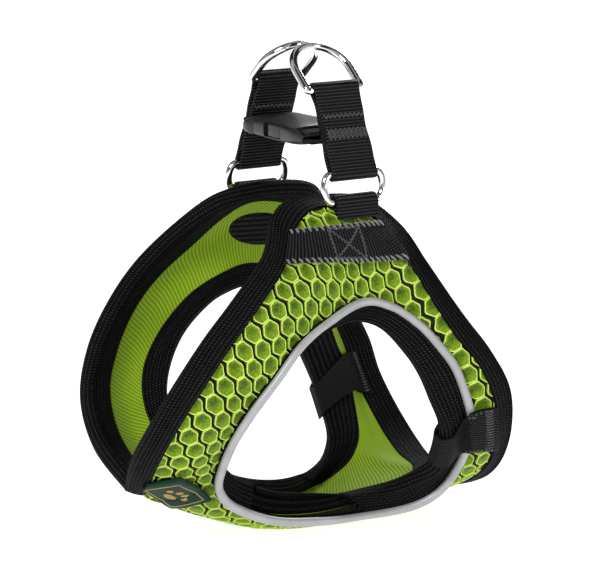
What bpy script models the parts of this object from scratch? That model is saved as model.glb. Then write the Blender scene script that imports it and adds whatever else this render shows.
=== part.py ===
"""Step-in harness vest for a small dog.

A padded vest wraps the chest. Each side is a band of honeycomb mesh, foam and knitted lining round one
leg hole. The two halves stay open along the back, where webbing straps with D-rings and a small
side-release buckle join them.

Axes: -X is the neck end, +X the tail end, -Y the dog's left, +Z up. Design dimensions are in
millimetres and become metres when a mesh is made. The origin is on the rest plane, under the middle.
"""

import math

import bmesh
import bpy
from mathutils import Vector
from mathutils.bvhtree import BVHTree

MM = 0.001
GAP = 0.35                      # clearance between touching pieces

# Vest layers, as offsets from the middle surface, outward positive
MESH_LAYER = (1.5, 2.6)
FOAM_LAYER = (-0.6, 0.6)
LINING_LAYER = (-2.6, -1.5)
BINDING_HALF = 3.0              # half thickness of the bound edges
EDGE_TRIM = 2.4                 # the fold of the edge binding stays this far inside the outer edge line
EDGE_GAP = 1.1                  # between the layers' edges and the edge binding
REST_Z = 3.9                    # the belly is flattened at this height: it becomes the rest plane

PIPING_RADIUS = 1.7
WEBBING = 20.0                  # strap width
PLY = 1.3                       # thickness of one ply of webbing
RING_WIRE = 1.5                 # radius of the oval rings' wire
D_WIRE = 1.65                   # radius of the D-rings' wire

ORIGIN = (-5.2, 0.0, REST_Z)    # becomes (0, 0, 0)

# Stations round the left leg hole, y negative on the left. They count from the chest, up the neck side,
# over the back, down the rear band and along the belly to the chest again.
STATIONS = 21
HOLE_EDGE = [
    (0, (-46, -15, 38)), (1, (-47, -25, 50)), (2, (-43, -33, 64)), (3, (-34, -37, 79)),
    (4, (-21, -38, 90)), (5, (-10, -38, 95)), (6, (1, -39, 96)), (7, (12, -41, 92)),
    (8, (21, -45, 82)), (9, (27, -48, 72)), (10, (32, -49, 61)), (11, (37, -49, 50)),
    (12, (39, -46, 41)), (13, (39, -40, 31)), (14, (35, -32, 25)), (15, (27, -24, 20)),
    (16, (11, -14, 17)), (17, (-3, -9.5, 17)), (18, (-21, -9.5, 21)), (19, (-36, -12, 29)),
    (20, (-43, -14, 34)),
]
HOLE_SEAM = [                   # where the piping runs
    (0, (-51, -19, 37)), (1, (-53, -30, 52)), (2, (-49, -38, 66)), (3, (-39, -42, 80)),
    (4, (-27, -42, 92)), (5, (-14, -41, 99)), (6, (0, -40, 103)), (7, (13, -41, 100)),
    (8, (26, -44, 92)), (9, (34, -47, 83)), (10, (41, -48, 73)), (11, (46, -48, 61)),
    (12, (50, -46, 50)), (13, (50, -41, 37)), (14, (47, -33, 24)), (15, (38, -27, 16)),
    (16, (20, -20, 12)), (17, (-1, -16, 10)), (18, (-22, -15, 13)), (19, (-39, -14, 21)),
    (20, (-47, -15, 29)),
]
PANEL_EDGE = [                  # where the edge binding's inner side runs, then the centre line
    (0, (-71, 0, 28.5)), (1, (-76.5, -17, 43)), (2, (-75, -30, 60)), (3, (-68, -37, 76)),
    (4, (-58, -40.5, 91.5)), (5, (-45, -41, 106)), (5.7, (-31, -37, 119)), (6.2, (-22, -29, 130)),
    (6.5, (-12, -25, 136.5)), (6.9, (2, -25.5, 137)), (7.25, (13, -26, 134)), (7.6, (21, -33, 125)),
    (8, (27, -41, 111)), (9, (39, -50, 89)), (10, (50, -53, 75)), (11, (57, -53, 62)),
    (12, (61, -50, 48)), (13, (65, -40, 32)), (13.6, (65.5, -28, 22)), (14.1, (64, -14, 16)),
    (14.5, (61.5, 0, 14)), (15, (54, 0, 12)), (16, (30, 0, 7.5)), (17, (0, 0, 5.6)), (18, (-25, 0, 8.5)),
    (19, (-45, 0, 15.5)), (20, (-60, 0, 22.5)),
]
OUTER_EDGE = [                  # the edge of the vest, from the chest centre to the belly's rear centre
    (0, (-81, 0, 33)), (1, (-86, -14, 46)), (2, (-85, -26, 61)), (3, (-78, -33, 78)),
    (4, (-67, -36, 95)), (5, (-53, -37, 111)), (5.7, (-38, -33, 125)), (6.2, (-27, -21, 136)),
    (6.5, (-17, -15, 139)), (6.9, (2, -15, 139.5)), (7.25, (19, -16, 137)), (7.6, (30, -26, 127)),
    (8, (35, -37, 115)), (9, (46, -48, 95)), (10, (58.5, -48, 78)), (11, (67.5, -49, 63)),
    (12, (71.5, -46, 47)), (13, (75, -36, 31)), (13.6, (76, -26, 21.5)), (14.1, (74.5, -13, 16)),
    (14.5, (72, 0, 14)),
]
BULGE = [                       # how far the panel swells between seam and edge
    (0, 3.0), (1, 3.5), (3, 3.0), (5, 4.0), (6, 6.0), (7, 6.0), (8, 2.5), (9, 1.5), (11, 1.5),
    (13, 2.0), (15, 2.0), (17, 1.5), (19, 2.0),
]
BELLY_START = 14.5                      # from this station the outer side is the centre line
SEAM_STATION = 12.0                     # the rear band is joined to the belly here
SEAM_HALF_GAP = 0.05

# Straps, in the plane across the dog: distance from the centre plane, height
D_BAR = (21.0, 183.5)                   # straight bar of the D-ring
BUCKLE_BAR = (19.0, 165.5)              # webbing bar of a buckle half
SIDES = {                               # where the oval ring hangs: its place along X and its two bars
    "left": dict(sign=-1, ring_x=6.0, loop_bar=(31.0, 140.6), top_bar=(29.8, 151.6), foot=136.3),
    "right": dict(sign=1, ring_x=0.0, loop_bar=(33.0, 137.2), top_bar=(31.2, 148.2), foot=134.0),
}
STRAP_X = 3.0                           # strap tops
BUCKLE_X = -1.0
D_LEAN = 50.0                           # degrees from upright
D_HEIGHT = 23.0
RING_LENGTH = 21.0                      # of the oval ring's bars, between centres of its ends

# Buckle, level between the straps: the socket hangs on the left strap and the plug on the right one
BAR_RADIUS = 1.2
BUCKLE_HALF_WIDTH = 12.2
BUCKLE_HALF_THICK = 4.4
THROAT_HALF_WIDTH = 10.4                # inside of the socket
THROAT_HALF_THICK = 2.9
MOUTH_Y = 13.2                          # the socket's mouth; its body runs from here towards the left
ARM_ROOT_Y = 12.6
ARM_X = 8.3                             # middle of a latch arm, from the buckle's middle


# ---------------------------------------------------------------- small tools

def clear_scene():
    for obj in list(bpy.data.objects):
        bpy.data.objects.remove(obj)


def material(name, colour, roughness, metallic=0.0):
    mat = bpy.data.materials.new(name)
    mat.use_nodes = True
    shader = mat.node_tree.nodes["Principled BSDF"]
    shader.inputs["Base Color"].default_value = (*colour, 1.0)
    shader.inputs["Roughness"].default_value = roughness
    shader.inputs["Metallic"].default_value = metallic
    return mat


def placed(p):
    """A design point in millimetres as a point of the part in metres."""
    return Vector([(p[i] - ORIGIN[i]) * MM for i in range(3)])


def make_object(name, verts, faces, mat, origin=None):
    """One named object; origin is the design point on its joint's axis, where it has one."""
    at = placed(origin) if origin else Vector((0, 0, 0))
    mesh = bpy.data.meshes.new(name)
    mesh.from_pydata([placed(v) - at for v in verts], [], faces)
    mesh.update()
    bm = bmesh.new()
    bm.from_mesh(mesh)
    bmesh.ops.recalc_face_normals(bm, faces=bm.faces)
    bm.to_mesh(mesh)
    bm.free()
    mesh.materials.append(mat)
    mesh.shade_smooth()
    mesh.set_sharp_from_angle(angle=math.radians(40))
    obj = bpy.data.objects.new(name, mesh)
    obj.location = at
    bpy.context.scene.collection.objects.link(obj)
    return obj


def loft(rings, closed):
    """Vertices and faces that join a row of equal rings, with flat caps when it isn't closed."""
    size, count = len(rings[0]), len(rings)
    verts = [p for ring in rings for p in ring]
    faces = []
    for i in range(count if closed else count - 1):
        a, b = i * size, ((i + 1) % count) * size
        for j in range(size):
            k = (j + 1) % size
            faces.append((a + j, a + k, b + k, b + j))
    if not closed:
        faces.append(tuple(range(size)))
        faces.append(tuple(range((count - 1) * size, count * size)))
    return verts, faces


def curve(knots, period=None):
    """A smooth function through (station, value) knots; values are numbers or points."""
    ts = [float(t) for t, _ in knots]
    vs = [Vector(v) if isinstance(v, tuple) else Vector((v, 0, 0)) for _, v in knots]
    scalar = not isinstance(knots[0][1], tuple)
    if period:
        ts = [ts[-2] - period, ts[-1] - period] + ts + [ts[0] + period, ts[1] + period]
        vs = [vs[-2], vs[-1]] + vs + [vs[0], vs[1]]

    def slope(i):
        a, b = max(i - 1, 0), min(i + 1, len(ts) - 1)
        return (vs[b] - vs[a]) / (ts[b] - ts[a])

    def value(t):
        if period:
            t = t % period
        i = max(j for j in range(len(ts) - 1) if ts[j] <= t + 1e-9 or j == 0)
        h = ts[i + 1] - ts[i]
        u = (t - ts[i]) / h
        a, b = slope(i) * h, slope(i + 1) * h
        p = vs[i] * (2 * u**3 - 3 * u**2 + 1) + a * (u**3 - 2 * u**2 + u)
        p += vs[i + 1] * (3 * u**2 - 2 * u**3) + b * (u**3 - u**2)
        return p.x if scalar else p

    return value


def spread(start, end, count):
    return [start + (end - start) * i / (count - 1) for i in range(count)]


# ---------------------------------------------------------------- the vest's middle surface

hole_edge = curve(HOLE_EDGE, STATIONS)
hole_seam = curve(HOLE_SEAM, STATIONS)
panel_edge = curve(PANEL_EDGE, STATIONS)
outer_edge = curve(OUTER_EDGE)
bulge = curve(BULGE, STATIONS)
TORSO_AXIS_Z = 62.0
LAYER_STEPS = 54
LAYER_S = (1.08, 1.5, 2.0, 2.5, 2.97)    # where a layer's cross-section has its points


def on_belly(t):
    return BELLY_START <= t % STATIONS or t % STATIONS == 0


def panel_rim(t):
    """The panel's outer side: the edge binding's seam, then exactly the centre line."""
    p = panel_edge(t)
    if on_belly(t):
        p.y = 0.0
    p.y = min(p.y, 0.0)
    return p


def surface(t, s):
    """The left panel's middle surface: s is 0 on the hole's edge, 1 on its seam and 3 on the outer rim."""
    a, b, d = hole_edge(t), hole_seam(t), panel_rim(t)
    middle = (b + d) / 2
    out = Vector((0, middle.y, middle.z - TORSO_AXIS_Z)).normalized()
    c = middle + out * bulge(t)
    return curve([(0, tuple(a)), (1, tuple(b)), (2, tuple(c)), (3, tuple(d))])(s)


def normal(t, s):
    """The outward normal; on the centre line it lies in the centre plane."""
    e = 0.03
    low, high = max(s - e, 0.0), min(s + e, 3.0)
    along = surface(t + e, s) - surface(t - e, s)
    across = surface(t, high) - surface(t, low)
    n = along.cross(across).normalized()
    p = surface(t, s)
    if n.dot(Vector((0, p.y, p.z - TORSO_AXIS_Z))) < 0:
        n = -n
    if s > 2.99 and on_belly(t):
        n.y = 0.0
        n.normalize()
    return n


def shell_point(t, s, offset):
    """A point on a layer, flattened on the rest plane and kept to its own half."""
    n = normal(t, 1.0 if s == LAYER_S[0] else s)
    p = surface(t, s) + n * offset
    if offset > 0:
        p.z = max(p.z, REST_Z)
    p.y = min(p.y, -GAP / 2)
    return p


def mirrored(points, sign):
    """Left-hand points as they are for sign -1, mirrored for sign 1."""
    return [Vector((p[0], -p[1] * sign, p[2])) for p in points]


def layer(name, offsets, mat, sign):
    """One layer of the panel, from the hole's seam to the rim, open at the rear band's seam."""
    start = SEAM_STATION + SEAM_HALF_GAP
    end = SEAM_STATION + STATIONS - SEAM_HALF_GAP
    rings = []
    for t in spread(start, end, LAYER_STEPS):
        last = 3.0 if on_belly(t) else LAYER_S[-1]
        across = [*LAYER_S[:-1], last]
        ring = [shell_point(t, s, offsets[0]) for s in across]
        ring += [shell_point(t, s, offsets[1]) for s in reversed(across)]
        rings.append(mirrored(ring, sign))
    return make_object(name, *loft(rings, False), mat)


def leg_binding(name, mat, sign):
    """The tape folded over the hole's edge."""
    rings = []
    for i in range(48):
        t = STATIONS * i / 48
        edge, seam = surface(t, 0), surface(t, 0.95)
        inward = (edge - surface(t, 0.2)).normalized()
        n0, n1 = normal(t, 0.0), normal(t, 1.0)
        h = BINDING_HALF
        ring = [seam + n1 * h, edge + n0 * h * 0.85, edge + inward * 1.4 + n0 * h * 0.3]
        ring += [edge + inward * 1.4 - n0 * h * 0.3, edge - n0 * h * 0.85, seam - n1 * h]
        rings.append(mirrored(ring, sign))
    return make_object(name, *loft(rings, True), mat)


def edge_binding(mat):
    """One tape round the whole outer edge: left from chest to belly, then right back to the chest."""
    left = []
    for t in spread(0.0, BELLY_START, 60):
        seam, edge = panel_rim(t), outer_edge(t)
        out = (edge - seam).normalized()
        edge = edge - out * EDGE_TRIM
        ahead = panel_rim(min(t + 0.05, BELLY_START)) - panel_rim(max(t - 0.05, 0.0))
        if t in (0.0, BELLY_START):
            ahead = Vector((0, -1 if t == 0.0 else 1, 0))
        n = ahead.cross(out).normalized()
        if n.dot(Vector((0, seam.y, seam.z - TORSO_AXIS_Z))) < 0:
            n = -n
        seam = seam + out * EDGE_GAP
        h, n_seam = BINDING_HALF, normal(t, 3.0)
        ring = [seam + n_seam * h, edge + n * h * 0.85, edge + out * 1.4 + n * h * 0.3]
        ring += [edge + out * 1.4 - n * h * 0.3, edge - n * h * 0.85, seam - n_seam * h]
        left.append([Vector((p.x, min(p.y, 0.0), p.z)) for p in ring])
    right = [mirrored(ring, 1) for ring in reversed(left[1:-1])]
    return make_object("edge_binding", *loft(left + right, True), mat)


def piping(name, mat, sign):
    """The reflective cord that lies in the groove between binding and mesh."""
    rings = []
    steps, sides = 56, 6
    for i in range(steps):
        t = STATIONS * i / steps
        n = normal(t, 1.0)
        across = (surface(t, 1.1) - surface(t, 0.9)).normalized()
        centre = surface(t, 1.01) + n * (BINDING_HALF + GAP + PIPING_RADIUS)
        ring = []
        for k in range(sides):
            a = 2 * math.pi * k / sides
            ring.append(centre + across * PIPING_RADIUS * math.cos(a) + n * PIPING_RADIUS * math.sin(a))
        rings.append(mirrored(ring, sign))
    return make_object(name, *loft(rings, True), mat)


# ---------------------------------------------------------------- webbing sewn on the vest

def side_patch(name, mat, sign):
    """Webbing folded round the hole's edge over the rear band's seam, outside and inside."""
    over = 2 * PIPING_RADIUS + GAP
    path = [(2.93, 3.7), (1.95, 3.7), (1.6, 3.5 + over), (0.72, 3.5 + over), (0.5, 3.6), (0.0, 3.4)]
    back = [(0.0, -3.4), (1.0, -3.5), (2.93, -3.5)]
    rings = []
    for t in spread(SEAM_STATION - 0.62, SEAM_STATION + 0.62, 5):
        edge = surface(t, 0)
        out = (edge - surface(t, 0.2)).normalized()
        n = normal(t, 0.0)
        inner = [surface(t, s) + normal(t, s) * o for s, o in path]
        inner += [edge + out * 1.9 + n * 1.6, edge + out * 1.9 - n * 1.6]
        inner += [surface(t, s) + normal(t, s) * o for s, o in back]
        outer = [surface(t, s) + normal(t, s) * (o + PLY) for s, o in path]
        outer += [edge + out * (1.9 + PLY) + n * 2.2, edge + out * (1.9 + PLY) - n * 2.2]
        outer += [surface(t, s) + normal(t, s) * (o - PLY) for s, o in back]
        rings.append(mirrored(inner + outer[::-1], sign))
    return make_object(name, *loft(rings, False), mat)


def outside_tree():
    """A search tree of the left panel's outer face, for laying flat pieces on it."""
    ts = spread(0.0, STATIONS, 85)
    ss = spread(1.0, 3.0, 9)
    verts = [shell_point(t, s, MESH_LAYER[1]) for t in ts for s in ss]
    faces = []
    for i in range(len(ts) - 1):
        for j in range(len(ss) - 1):
            a = i * len(ss) + j
            faces.append((a, a + 1, a + len(ss) + 1, a + len(ss)))
    return BVHTree.FromPolygons(verts, faces)


def laid_sheet(name, corners, counts, thickness, direction, mat, sign, lift=GAP):
    """A flat sheet laid on the outer face: four corners, grid counts, and the way it is laid."""
    tree = outside_tree()
    toward = Vector(direction).normalized()
    a, b, c, d = [Vector(p) for p in corners]
    nu, nv = counts
    grid = []
    for i in range(nu):
        for j in range(nv):
            u, v = i / (nu - 1), j / (nv - 1)
            p = a * (1 - u) * (1 - v) + b * u * (1 - v) + c * u * v + d * (1 - u) * v
            hit, n, _, _ = tree.ray_cast(p - toward * 60, toward, 200)
            if n.dot(toward) > 0:
                n = -n
            grid.append((hit, n))
    low = [hit + n * lift for hit, n in grid]
    high = [hit + n * (lift + thickness) for hit, n in grid]
    rings = []
    for i in range(nu):
        row = slice(i * nv, (i + 1) * nv)
        rings.append(mirrored(low[row] + high[row][::-1], sign))
    return make_object(name, *loft(rings, False), mat)


def back_strip(name, mat, sign):
    corners = [(-25, -60, 126), (22, -60, 122), (15, -60, 138), (-16.5, -60, 138.5)]
    return laid_sheet(name, corners, (6, 3), PLY, (0, 1, -0.25), mat, sign, lift=0.6)


def chest_label(mat):
    corners = [(-69, -3.5, 28), (-56, -3.5, 19), (-49, -14, 21), (-63, -16, 32)]
    return laid_sheet("chest_label", corners, (5, 4), 1.4, (0.53, 0.57, 0.63), mat, -1, lift=0.8)


# ---------------------------------------------------------------- rings, straps and buckle

def side_point(side, x, across, z):
    return Vector((x, SIDES[side]["sign"] * across, z))


def tube(path, radius, sides=8):
    """A closed wire along a closed flat path of points."""
    count = len(path)
    centre = sum(path, Vector()) / count
    flat = (path[0] - centre).cross(path[count // 4] - centre).normalized()
    rings = []
    for i, p in enumerate(path):
        ahead = (path[(i + 1) % count] - path[i - 1]).normalized()
        side = ahead.cross(flat).normalized()
        ring = []
        for k in range(sides):
            a = 2 * math.pi * k / sides
            ring.append(p + side * radius * math.cos(a) + flat * radius * math.sin(a))
        rings.append(ring)
    return loft(rings, True)


def oval_ring(side, mat):
    """A ring with two straight bars, the lower in the vest's loop and the upper in the strap."""
    info = SIDES[side]
    low = Vector((0, *info["loop_bar"]))
    high = Vector((0, *info["top_bar"]))
    middle, up = (low + high) / 2, (high - low) / 2
    path = []
    half = RING_LENGTH / 2
    for end, start in ((1, -90), (-1, 90)):
        for k in range(9):
            a = math.radians(start + 180 * k / 8)
            x = end * half + up.length * 0.55 * math.cos(a)
            p = middle + up * math.sin(a)
            path.append(side_point(side, info["ring_x"] + x, p.y, p.z))
    origin = side_point(side, info["ring_x"], low.y, low.z)
    return make_object(f"{side}_oval_ring", *tube(path, RING_WIRE), mat, origin)


def d_ring(side, mat):
    """The lead ring: a straight bar in the strap and a round bow that leans inward."""
    lean = math.radians(D_LEAN)
    up = Vector((0, -math.sin(lean), math.cos(lean)))
    base = Vector((0, *D_BAR))
    half = WEBBING / 2 + D_WIRE + 0.6
    path = []
    for k in range(15):
        a = math.pi * k / 14
        p = base + up * (D_HEIGHT - half + half * math.sin(a))
        path.append(side_point(side, STRAP_X + half * math.cos(a), p.y, p.z))
    for x in spread(-half, half, 5):
        path.append(side_point(side, STRAP_X + x, base.y, base.z))
    origin = side_point(side, STRAP_X, *D_BAR)
    return make_object(f"{side}_d_ring", *tube(path, D_WIRE), mat, origin)


def arc(centre, radius, start, end, count):
    """Points of an arc in the (across, height) plane, in degrees from the outward direction."""
    points = []
    for a in spread(math.radians(start), math.radians(end), count):
        points.append((centre[0] + radius * math.cos(a), centre[1] + radius * math.sin(a)))
    return points


def ring_loop(side, mat):
    """The loop sewn to the vest that holds the oval ring's lower bar."""
    info = SIDES[side]
    bar, foot = info["loop_bar"], info["foot"]
    inner, outer = RING_WIRE + 0.2, RING_WIRE + 0.2 + PLY
    outline = [(bar[0] + outer - 0.1, foot)] + arc(bar, outer, 0, 180, 7)
    outline += [(bar[0] - 0.9, bar[1] - outer + 0.2), (bar[0] + 0.6, foot)]
    hole = arc(bar, inner, 0, 360, 9)[:-1]
    return ring_with_hole(f"{side}_ring_loop", side, outline, hole, lambda z: info["ring_x"],
                          RING_LENGTH - 3, mat)


def ring_with_hole(name, side, outline, hole, x_at, width, mat, origin=None):
    """A webbing piece with one round tunnel through it for a bar."""
    outer_count, hole_count = len(outline), len(hole)
    bm = bmesh.new()
    layers = []
    for end in (-1, 1):
        outer = [bm.verts.new(side_point(side, x_at(z) + end * width / 2, w, z)) for w, z in outline]
        inner = [bm.verts.new(side_point(side, x_at(z) + end * width / 2, w, z)) for w, z in hole]
        edges = [bm.edges.new((outer[i], outer[(i + 1) % outer_count])) for i in range(outer_count)]
        edges += [bm.edges.new((inner[i], inner[(i + 1) % hole_count])) for i in range(hole_count)]
        bmesh.ops.triangle_fill(bm, edges=edges, use_beauty=True)
        layers.append((outer, inner))
    for near, far in zip(*layers):
        for i in range(len(near)):
            j = (i + 1) % len(near)
            bm.faces.new((near[i], near[j], far[j], far[i]))
    bm.verts.index_update()
    verts = [v.co.copy() for v in bm.verts]
    faces = [tuple(v.index for v in f.verts) for f in bm.faces]
    bm.free()
    return make_object(name, verts, faces, mat, origin)


def strap_outline(side):
    """The strap's side view: its outline, its two eyes, its place along X and its joint's point."""
    info = SIDES[side]
    low = Vector(info["top_bar"])
    high = Vector(D_BAR)
    along = (high - low).normalized()
    out = Vector((along.y, -along.x))
    eye_low, eye_high = RING_WIRE + 0.25, D_WIRE + 0.25
    width = eye_low + PLY
    body = 2.3
    lean = math.degrees(math.atan2(along.y, along.x))

    def ring_x(z):
        u = (z - low.y) / (high.y - low.y)
        return info["ring_x"] + (STRAP_X - info["ring_x"]) * min(max(u, 0.0), 1.0)

    outline = arc(low, width, lean + 118, lean + 242, 7)
    outline += [tuple(low + along * 6 - out * -body), tuple(high - along * 6 - out * -body)]
    top = arc(high, eye_high + PLY, lean - 62, lean + 62, 7)
    outline += top
    outline += [tuple(high - along * 6 - out * body), tuple(low + along * 6 - out * body)]
    rings = (low, eye_low), (high, eye_high)
    origin = side_point(side, info["ring_x"], *low)
    return outline, rings, ring_x, origin


def strap(side, mat):
    """Doubled webbing from the oval ring's upper bar to the D-ring's bar, with an eye at each end."""
    outline, eyes, x_at, origin = strap_outline(side)
    bm = bmesh.new()
    loops = [outline] + [arc(centre, radius, 0, 360, 9)[:-1] for centre, radius in eyes]
    sheets = []
    for end in (-1, 1):
        edges, sheet = [], []
        for loop in loops:
            row = [bm.verts.new(side_point(side, x_at(z) + end * WEBBING / 2, w, z)) for w, z in loop]
            edges += [bm.edges.new((row[i], row[(i + 1) % len(row)])) for i in range(len(row))]
            sheet.append(row)
        bmesh.ops.triangle_fill(bm, edges=edges, use_beauty=True)
        sheets.append(sheet)
    for near, far in zip(*sheets):
        for i in range(len(near)):
            j = (i + 1) % len(near)
            bm.faces.new((near[i], near[j], far[j], far[i]))
    bm.verts.index_update()
    verts = [v.co.copy() for v in bm.verts]
    faces = [tuple(v.index for v in f.verts) for f in bm.faces]
    bm.free()
    return make_object(f"{side}_strap", verts, faces, mat, origin)


def box(name, low, high, mat=None, helper=False):
    """A plain block between two design points; a helper is only there to cut or to join."""
    x0, y0, z0 = low
    x1, y1, z1 = high
    verts = [Vector((x, y, z)) for x in (x0, x1) for y in (y0, y1) for z in (z0, z1)]
    faces = [(0, 1, 3, 2), (4, 6, 7, 5), (0, 4, 5, 1), (2, 3, 7, 6), (0, 2, 6, 4), (1, 5, 7, 3)]
    obj = make_object(name, verts, faces, mat or bpy.data.materials["black_plastic"])
    if helper:
        obj.hide_render = True
        obj.display_type = "WIRE"
    return obj


def combine(obj, other, operation):
    """Cut a helper out of a piece, or join it on."""
    modifier = obj.modifiers.new(other.name, "BOOLEAN")
    modifier.operation = operation
    modifier.object = other


def prism_along_y(name, outlines, mat):
    """A body lofted along Y from (y, half width, half thickness) sections with cut corners."""
    rings = []
    for y, half, thick in outlines:
        c = min(half, thick) * 0.35
        ring = []
        for sx, sz, first in ((1, 1, 0), (-1, 1, 1), (-1, -1, 0), (1, -1, 1)):
            corner = [(half, thick - c), (half - c, thick)]
            if first:
                corner.reverse()
            for x, z in corner:
                ring.append(Vector((BUCKLE_X + sx * x, y, BUCKLE_BAR[1] + sz * z)))
        rings.append(ring)
    return make_object(name, *loft(rings, False), mat)


def cross_bar(name, y, half, mat):
    """A round bar along X, a helper that becomes part of a buckle half."""
    rings = []
    for x in (BUCKLE_X - half, BUCKLE_X + half):
        points = arc((y, BUCKLE_BAR[1]), BAR_RADIUS, 0, 360, 9)[:-1]
        rings.append([Vector((x, py, pz)) for py, pz in points])
    obj = make_object(name, *loft(rings, False), mat)
    obj.hide_render = True
    obj.display_type = "WIRE"
    return obj


def buckle_half(name, sections, cutters, bar_y, mat):
    """A lofted body with blocks cut out of it and its webbing bar joined on."""
    body = prism_along_y(name, sections, mat)
    for i, (low, high) in enumerate(cutters):
        cutter = box(f"{name}_cutter_{i}", low, high, helper=True)
        combine(body, cutter, "DIFFERENCE")
    combine(body, cross_bar(f"{name}_bar", bar_y, BUCKLE_HALF_WIDTH - 1.0, mat), "UNION")
    return body


def buckle_socket(mat):
    x, z, bar = BUCKLE_X, BUCKLE_BAR[1], -BUCKLE_BAR[0]
    w, t = BUCKLE_HALF_WIDTH, BUCKLE_HALF_THICK
    webbing = WEBBING / 2 + 0.4
    sections = [(bar - 2.2, w - 0.6, 2.6), (bar + 3.5, w, 3.6), (-6, w - 0.4, t), (6, w, t)]
    sections += [(MOUTH_Y, w, t)]
    cutters = [
        ((x - THROAT_HALF_WIDTH, -8, z - THROAT_HALF_THICK),
         (x + THROAT_HALF_WIDTH, MOUTH_Y + 5, z + THROAT_HALF_THICK)),
        ((x - 20, -6.5, z - THROAT_HALF_THICK + 0.2), (x + 20, 5.5, z + THROAT_HALF_THICK - 0.2)),
        ((x - webbing, bar - 8, z - 8), (x + webbing, bar + 3.2, z + 8)),
    ]
    return buckle_half("buckle_socket", sections, cutters, bar, mat)


def buckle_plug(mat):
    x, z, bar = BUCKLE_X, BUCKLE_BAR[1], BUCKLE_BAR[0]
    w = BUCKLE_HALF_WIDTH
    webbing = WEBBING / 2 + 0.4
    sections = [(MOUTH_Y + GAP, w, 3.9), (bar - 2.5, w + 1.0, 3.6), (bar + 2.2, w, 2.6)]
    cutters = [((x - webbing, bar - 3.2, z - 8), (x + webbing, bar + 8, z + 8))]
    body = buckle_half("buckle_plug", sections, cutters, bar, mat)
    tongue = box("buckle_plug_tongue", (x - 3, -4, z - 1.6), (x + 3, MOUTH_Y + 1.0, z + 1.6), helper=True)
    combine(body, tongue, "UNION")
    return body


def latch_arm(name, sign, mat):
    """A sprung arm of the plug; its pad fills the socket's side window."""
    x, z = BUCKLE_X, BUCKLE_BAR[1]
    outline = [(1.4, 12.6), (1.6, 4.5), (2.0, 3.8), (2.0, -5.0), (0.6, -6.2), (-1.4, -5.5)]
    outline += [(-1.2, 4.0), (-1.0, 12.6)]
    rings = []
    for side in (-2.3, 2.3):
        rings.append([Vector((x + sign * (ARM_X + a), y, z + side)) for a, y in outline])
    return make_object(name, *loft(rings, False), mat, (x + sign * ARM_X, ARM_ROOT_Y, z))


def buckle_tab(side, mat):
    """The webbing loop that holds a buckle half's bar to its strap."""
    inner, outer = BAR_RADIUS + 0.25, BAR_RADIUS + 0.25 + PLY
    w, z = BUCKLE_BAR
    outline = arc((w, z), outer, 50, 310, 9) + [(w + 3.9, z - 1.5), (w + 3.7, z + 1.5)]
    hole = arc((w, z), inner, 0, 360, 9)[:-1]
    return ring_with_hole(f"{side}_buckle_tab", side, outline, hole, lambda height: BUCKLE_X, WEBBING, mat)


def main():
    clear_scene()
    lime = material("lime_mesh", (0.42, 0.68, 0.03), 0.7)
    foam = material("foam", (0.75, 0.75, 0.7), 0.9)
    knit = material("lime_knit", (0.45, 0.72, 0.05), 0.8)
    tape = material("black_tape", (0.012, 0.012, 0.013), 0.8)
    webbing = material("black_webbing", (0.02, 0.02, 0.022), 0.6)
    reflective = material("reflective_piping", (0.6, 0.6, 0.62), 0.4)
    chrome = material("chrome", (0.8, 0.8, 0.82), 0.12, 1.0)
    plastic = material("black_plastic", (0.03, 0.03, 0.032), 0.35)
    rubber = material("green_rubber", (0.02, 0.09, 0.06), 0.45)
    for side, info in SIDES.items():
        sign = info["sign"]
        layer(f"{side}_mesh_panel", MESH_LAYER, lime, sign)
        layer(f"{side}_padding", FOAM_LAYER, foam, sign)
        layer(f"{side}_lining", LINING_LAYER, knit, sign)
        leg_binding(f"{side}_leg_binding", tape, sign)
        piping(f"{side}_reflective_piping", reflective, sign)
        side_patch(f"{side}_side_patch", webbing, sign)
        back_strip(f"{side}_back_strip", webbing, sign)
        ring_loop(side, webbing)
        oval_ring(side, chrome)
        strap(side, webbing)
        d_ring(side, chrome)
        buckle_tab(side, webbing)
    edge_binding(tape)
    chest_label(rubber)
    buckle_socket(plastic)
    buckle_plug(plastic)
    latch_arm("front_latch_arm", -1, plastic)
    latch_arm("rear_latch_arm", 1, plastic)


main()
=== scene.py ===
"""Looks of the step-in harness vest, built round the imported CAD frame.

Design sizes are in millimetres, with -X the neck end, -Y the dog's left and +Z up, as in the CAD. They become
metres of the row frame when a mesh is made. The vest's middle surface is the same formula as in the CAD.
"""

import math

import bmesh
import bpy
import numpy as np
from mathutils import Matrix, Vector
from mathutils.bvhtree import BVHTree


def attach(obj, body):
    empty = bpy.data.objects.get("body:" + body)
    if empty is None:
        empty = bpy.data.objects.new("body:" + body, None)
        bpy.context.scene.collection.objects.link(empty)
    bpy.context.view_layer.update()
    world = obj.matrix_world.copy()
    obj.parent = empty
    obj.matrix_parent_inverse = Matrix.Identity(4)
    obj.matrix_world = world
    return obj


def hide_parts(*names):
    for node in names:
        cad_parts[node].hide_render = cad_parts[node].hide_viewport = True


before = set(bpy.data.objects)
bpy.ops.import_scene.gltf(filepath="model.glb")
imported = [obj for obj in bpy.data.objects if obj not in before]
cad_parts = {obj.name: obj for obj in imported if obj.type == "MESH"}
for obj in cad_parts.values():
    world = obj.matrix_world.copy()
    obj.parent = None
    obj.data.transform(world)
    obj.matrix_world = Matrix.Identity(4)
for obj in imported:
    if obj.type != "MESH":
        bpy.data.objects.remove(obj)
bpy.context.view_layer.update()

MM = 0.001
ORIGIN = np.array((-5.2, 0.0, 3.9))     # the design point that is the row frame's origin
REST_Z = 3.9
TORSO_AXIS_Z = 62.0

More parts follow.
